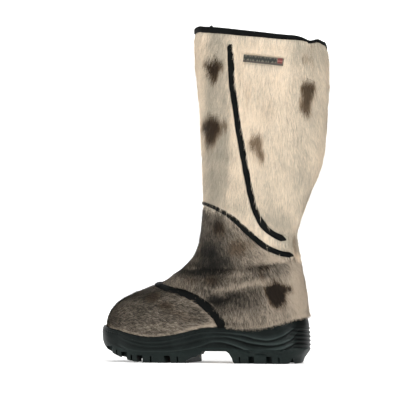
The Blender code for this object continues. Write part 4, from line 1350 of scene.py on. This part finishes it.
def make_cup():
    """The cup: a sculpted rubber wall round the foot of the upper, on a floor."""
    turn = np.linspace(0, 2 * math.pi, CUP_AROUND, endpoint=False)
    mid_x, mid_z, half_x, half_z = HEEL_HIGHLIGHT
    rings, relief = [], []
    for t in np.linspace(0, 1, CUP_RINGS):
        x, y, row = sole_ring(turn, float(np.interp(t, *CUP_INSETS)), HEEL_INSET + CUP_HEEL_INSET * t**1.5)
        z = row["parting"] - CUP_START + (row["rim"] - row["parting"] + CUP_START) * t
        ring, push = sculpted_ring(x, y, z, row["rim"], 1 - step_between(0.95, 1.0, t))
        rings.append(ring)
        # A painted highlight over the heel's wall, and painted shade on the heel's rounded end, go into the
        # relief that the cup's finish reads.
        coat_cells_and_heel_light = 0.16 * bell(np.hypot((x - mid_x) / half_x, (z - mid_z) / half_z), 1)
        coat_cells_and_heel_light -= 0.32 * step_between(128, 143, x)
        relief.append(np.clip(PLAIN_RELIEF + push * RELIEF_A_MM + coat_cells_and_heel_light, 0, 1))
    for inset, drop in CUP_LIP:
        x, y, row = sole_ring(turn, inset, HEEL_INSET + CUP_HEEL_INSET)
        rings.append(np.stack([x, y, row["rim"] - drop], axis=1))
    x, y, row = sole_ring(turn, FLOOR_INSET, HEEL_INSET + CUP_HEEL_INSET)
    rings.append(np.stack([x, y, row["parting"] + CUP_FLOOR], axis=1))
    made = closed_rings("cup_sole", rings, finish("cup_rubber_finish", rubber, lighter=1.0, carved=True))
    unseen = np.full((len(rings) - len(relief)) * CUP_AROUND, 0.45)
    store(made, "relief", np.concatenate([*relief, unseen]))
    give(made, "boot", "cup_rubber", "midsole")


def cutter(name, outline, low, high, flat="xy"):
    """A closed outline extruded into a block that cuts the tread."""
    n = len(outline)
    points = [(a, b, c) if flat == "xy" else (a, c, b) for c in (low, high) for a, b in outline]
    faces = [(i, (i + 1) % n, (i + 1) % n + n, i + n) for i in range(n)]
    faces += [tuple(range(n)), tuple(range(n, 2 * n))]
    mesh = bpy.data.meshes.new(name)
    mesh.from_pydata(to_row(points).tolist(), [], faces)
    made = linked(name, mesh)
    face_out(made)
    return made


def cut_away(target, tool):
    step = target.modifiers.new(tool.name, "BOOLEAN")
    step.operation = "DIFFERENCE"
    step.solver = "EXACT"
    step.object = tool
    only(target)
    bpy.ops.object.modifier_apply(modifier=step.name)
    bpy.data.objects.remove(tool)


def slot_outline(x, side, degrees, reach, half):
    """A slot in from the sole's edge at x, with a round end."""
    row = sole_at(x)
    edge = -row["lateral"] if side < 0 else row["medial"]
    outline = [(half, side * SLOT_OUT), (-half, side * SLOT_OUT)]
    for k in range(7):
        at = math.pi * k / 6
        outline.append((-half * math.cos(at), -side * (reach + half * math.sin(at))))
    placed = (turned(px, py, degrees) for px, py in outline)
    return [(x + px, edge + py) for px, py in placed], row["bottom"]


def make_tread():
    """Tread rubber: edge lugs, slits, the arch, the heel and the two wells."""
    turn = np.linspace(0, 2 * math.pi, TREAD_AROUND, endpoint=False)
    rings = []
    for inset, t in TREAD_LEVELS:
        more = TREAD_HEEL_INSET * (1 - step_between(0.25, 0.85, t))
        x, y, row = sole_ring(turn, inset, HEEL_INSET + more)
        z = row["bottom"] + (row["parting"] - row["bottom"]) * t
        rings.append(sculpted_ring(x, y, z, row["rim"], step_between(0.1, 0.4, t))[0])
    # The tread is the cup's rubber painted twice as light: painted light on its lit faces.
    tread = closed_rings("tread", rings, finish("sole_rubber_finish", rubber, lighter=2.0), False)
    cut_away(tread, cutter("arch_cut", ARCH, ARCH_EDGE, BEYOND, "xz"))
    cut_away(tread, cutter("arch_cut_outer", OUTER_ARCH, -BEYOND, ARCH_EDGE, "xz"))
    cut_away(tread, cutter("arch_cut_inner", INNER_ARCH, UNDER, INNER_ARCH_TOP))
    for table, width, depth in ((NOTCHES, NOTCH_WIDTH, LUG_DEPTH), (SLITS, SLIT_WIDTH, SLIT_DEPTH)):
        for index, slot in enumerate(table):
            outline, bottom = slot_outline(*slot, width / 2)
            cut_away(tread, cutter(f"slot_{index}", outline, SLOT_UNDER, bottom + depth))
    for pin_x, y, way, plate_length, plate_width in CLEATS:
        half, reach = plate_width / 2 + WELL_SIDE, plate_length + WELL_SIDE
        for from_x, to_x, depth in ((-STORE_PAST, reach, STORE_DEPTH), (LANDING_PAST, -reach, LANDING_DEPTH)):
            x0, x1 = pin_x + way * from_x, pin_x + way * to_x
            outline = [(x0, y - half), (x1, y - half), (x1, y + half), (x0, y + half)]
            cut_away(tread, cutter("well", outline, UNDER, depth))
        seat = [(pin_x + PIN_SEAT * math.cos(a), PIN_Z + PIN_SEAT * math.sin(a))
                for a in (2 * math.pi * k / 20 for k in range(20))]
        past = plate_width / 2 + PIN_PAST
        cut_away(tread, cutter("pin_seat", seat, y - past, y + past, "xz"))
    only(tread)
    bpy.ops.object.shade_smooth_by_angle(angle=math.radians(SHARP_ANGLE))
    give(tread, "boot", "sole_rubber", "outsole")


# ==== hard pieces ====
def make_hardware():
    """Finishes for the cleats, pins, studs, inlay and insole, whose CAD shapes stay."""
    red, yellow = bpy.context.scene.boot_colours.red, bpy.context.scene.boot_colours.yellow
    steel = finish("steel_finish", hard, clean=(0.62, 0.62, 0.62, 1), dusty=(0.38, 0.37, 0.36, 1),
                   roughness=(0.25, 0.45), more={"Metallic": 1.0})
    finishes = {
        "cleat_plate": finish("cleat_red_finish", hard, clean=rgb(red), dusty=rgb(red, 0.6),
                              roughness=0.38, grain=0.1, more={"Coat Weight": 0.3}),
        "hinge_pin": steel,
        "stud": steel,
        "arch_inlay": finish("inlay_rubber_finish", hard, clean=rgb(yellow), dusty=rgb(yellow, 0.7),
                             roughness=0.45, grain=0.2),
        "insole": finish("felt_finish", felt),
    }
    for name, node in frame["nodes"].items():
        for start, material in finishes.items():
            if name.startswith(start):
                node.material_slots[0].material = material


# ==== stage ====
def make_stage():
    scene = bpy.context.scene
    stage = scene.stage_settings
    depth, bend, half = PAPER["depth"], PAPER["bend"], PAPER["width"] / 2
    profile = [(PAPER["front"], 0.0), (depth - bend, 0.0)]
    for k in range(1, 13):
        at = math.pi / 2 * k / 12
        profile.append((depth - bend + bend * math.sin(at), bend * (1 - math.cos(at))))
    profile.append((depth, PAPER["height"]))
    cos, sin = math.cos(stage.turn), math.sin(stage.turn)
    points = [(-sin * d + cos * s, cos * d + sin * s, h) for d, h in profile for s in (-half, half)]
    faces = grid_faces(len(profile), 2, closed=False)
    mesh_piece("studio_floor", np.array(points) / MM - LAST_TO_ROW, [faces[:, ::-1]],
                        finish("studio_paper", paper, turn=stage.turn))

    scene.world = bpy.data.worlds.new("studio")
    scene.world.use_nodes = True
    background = scene.world.node_tree.nodes["Background"].inputs
    background["Color"].default_value = (1, 1, 1, 1)
    background["Strength"].default_value = WORLD_LIGHT
    target = Vector((TARGET[0] * cos, TARGET[0] * sin, TARGET[1]))
    for name, (x, y, z), size, power in LIGHTS:
        light = bpy.data.lights.new(name, "AREA")
        light.size = size
        light.energy = power
        lamp = linked(name, light)
        lamp.location = (x * cos - y * sin, x * sin + y * cos, z)
        lamp.rotation_euler = (target - lamp.location).to_track_quat("-Z", "Y").to_euler()

    data = bpy.data.cameras.new("camera")
    data.lens = stage.lens
    data.sensor_width = 36.0
    data.clip_end = 40.0
    camera = linked("camera", data)
    rise = stage.rise
    away = Vector((sin * math.cos(rise), -cos * math.cos(rise), math.sin(rise)))
    camera.location = target + away * stage.distance
    camera.rotation_euler = (-away).to_track_quat("-Z", "Y").to_euler()
    scene.camera = camera
    scene.view_settings.view_transform = "Standard"


# ==== operators ====
def operator(name, label, doc, work):
    """An operator class that runs one maker's function."""
    def execute(self, context):
        work()
        return {"FINISHED"}
    return type(f"BOOT_OT_{name}", (bpy.types.Operator,), {
        "bl_idname": f"boot.{name}", "bl_label": label, "__doc__": doc, "execute": execute,
        "bl_options": {"REGISTER", "UNDO"}})


OPERATORS = [
    operator("stage", "Stage", "Add the floor, the lights and the camera", make_stage),
    operator("hides", "Hides", "Make the hides of shaft, foot and toe cap", make_hides),
    operator("lining", "Lining", "Make the felt lining", make_lining),
    operator("hair", "Hair", "Lay the hair on shaft, foot and toe cap", make_hair),
    operator("piping", "Piping", "Sew the leather strips along the seams", make_piping),
    operator("binding", "Binding", "Fold the leather binding over the top edge", make_binding),
    operator("badge", "Badge", "Weave the plain tab on the outer side", make_badge),
    operator("cup", "Cup sole", "Mould the cup's sculpted wall", make_cup),
    operator("tread", "Tread", "Mould the tread with its lugs and wells", make_tread),
    operator("hardware", "Cleats", "Finish the cleats, pins, studs, inlay and insole", make_hardware),
]
GROUPS = {"boot_sizes": BootSizes, "boot_colours": BootColours, "stage_settings": StageSettings}


class BOOT_PT_panel(bpy.types.Panel):
    """The boot's settings and the steps that make its finish."""
    bl_label = "Sealskin Boot"
    bl_idname = "BOOT_PT_panel"
    bl_space_type = "VIEW_3D"
    bl_region_type = "UI"
    bl_category = "Boot"

    def draw(self, context):
        for name, group in GROUPS.items():
            box = self.layout.box()
            for key in group.__annotations__:
                box.prop(getattr(context.scene, name), key)
        for each in OPERATORS:
            self.layout.operator(each.bl_idname)


CLASSES = (*GROUPS.values(), *OPERATORS, BOOT_PT_panel)


def register():
    for each in CLASSES:
        bpy.utils.register_class(each)
    for name, group in GROUPS.items():
        setattr(bpy.types.Scene, name, bpy.props.PointerProperty(type=group))


def unregister():
    for name in GROUPS:
        delattr(bpy.types.Scene, name)
    for each in reversed(CLASSES):
        bpy.utils.unregister_class(each)


def main():
    for old in list(bpy.data.objects):
        if old.type in ("CAMERA", "LIGHT") or old.name == "Cube":
            bpy.data.objects.remove(old)
    register()
    for each in OPERATORS:
        getattr(bpy.ops.boot, each.bl_idname.split(".")[1])()


if __name__ == "__main__":
    main()
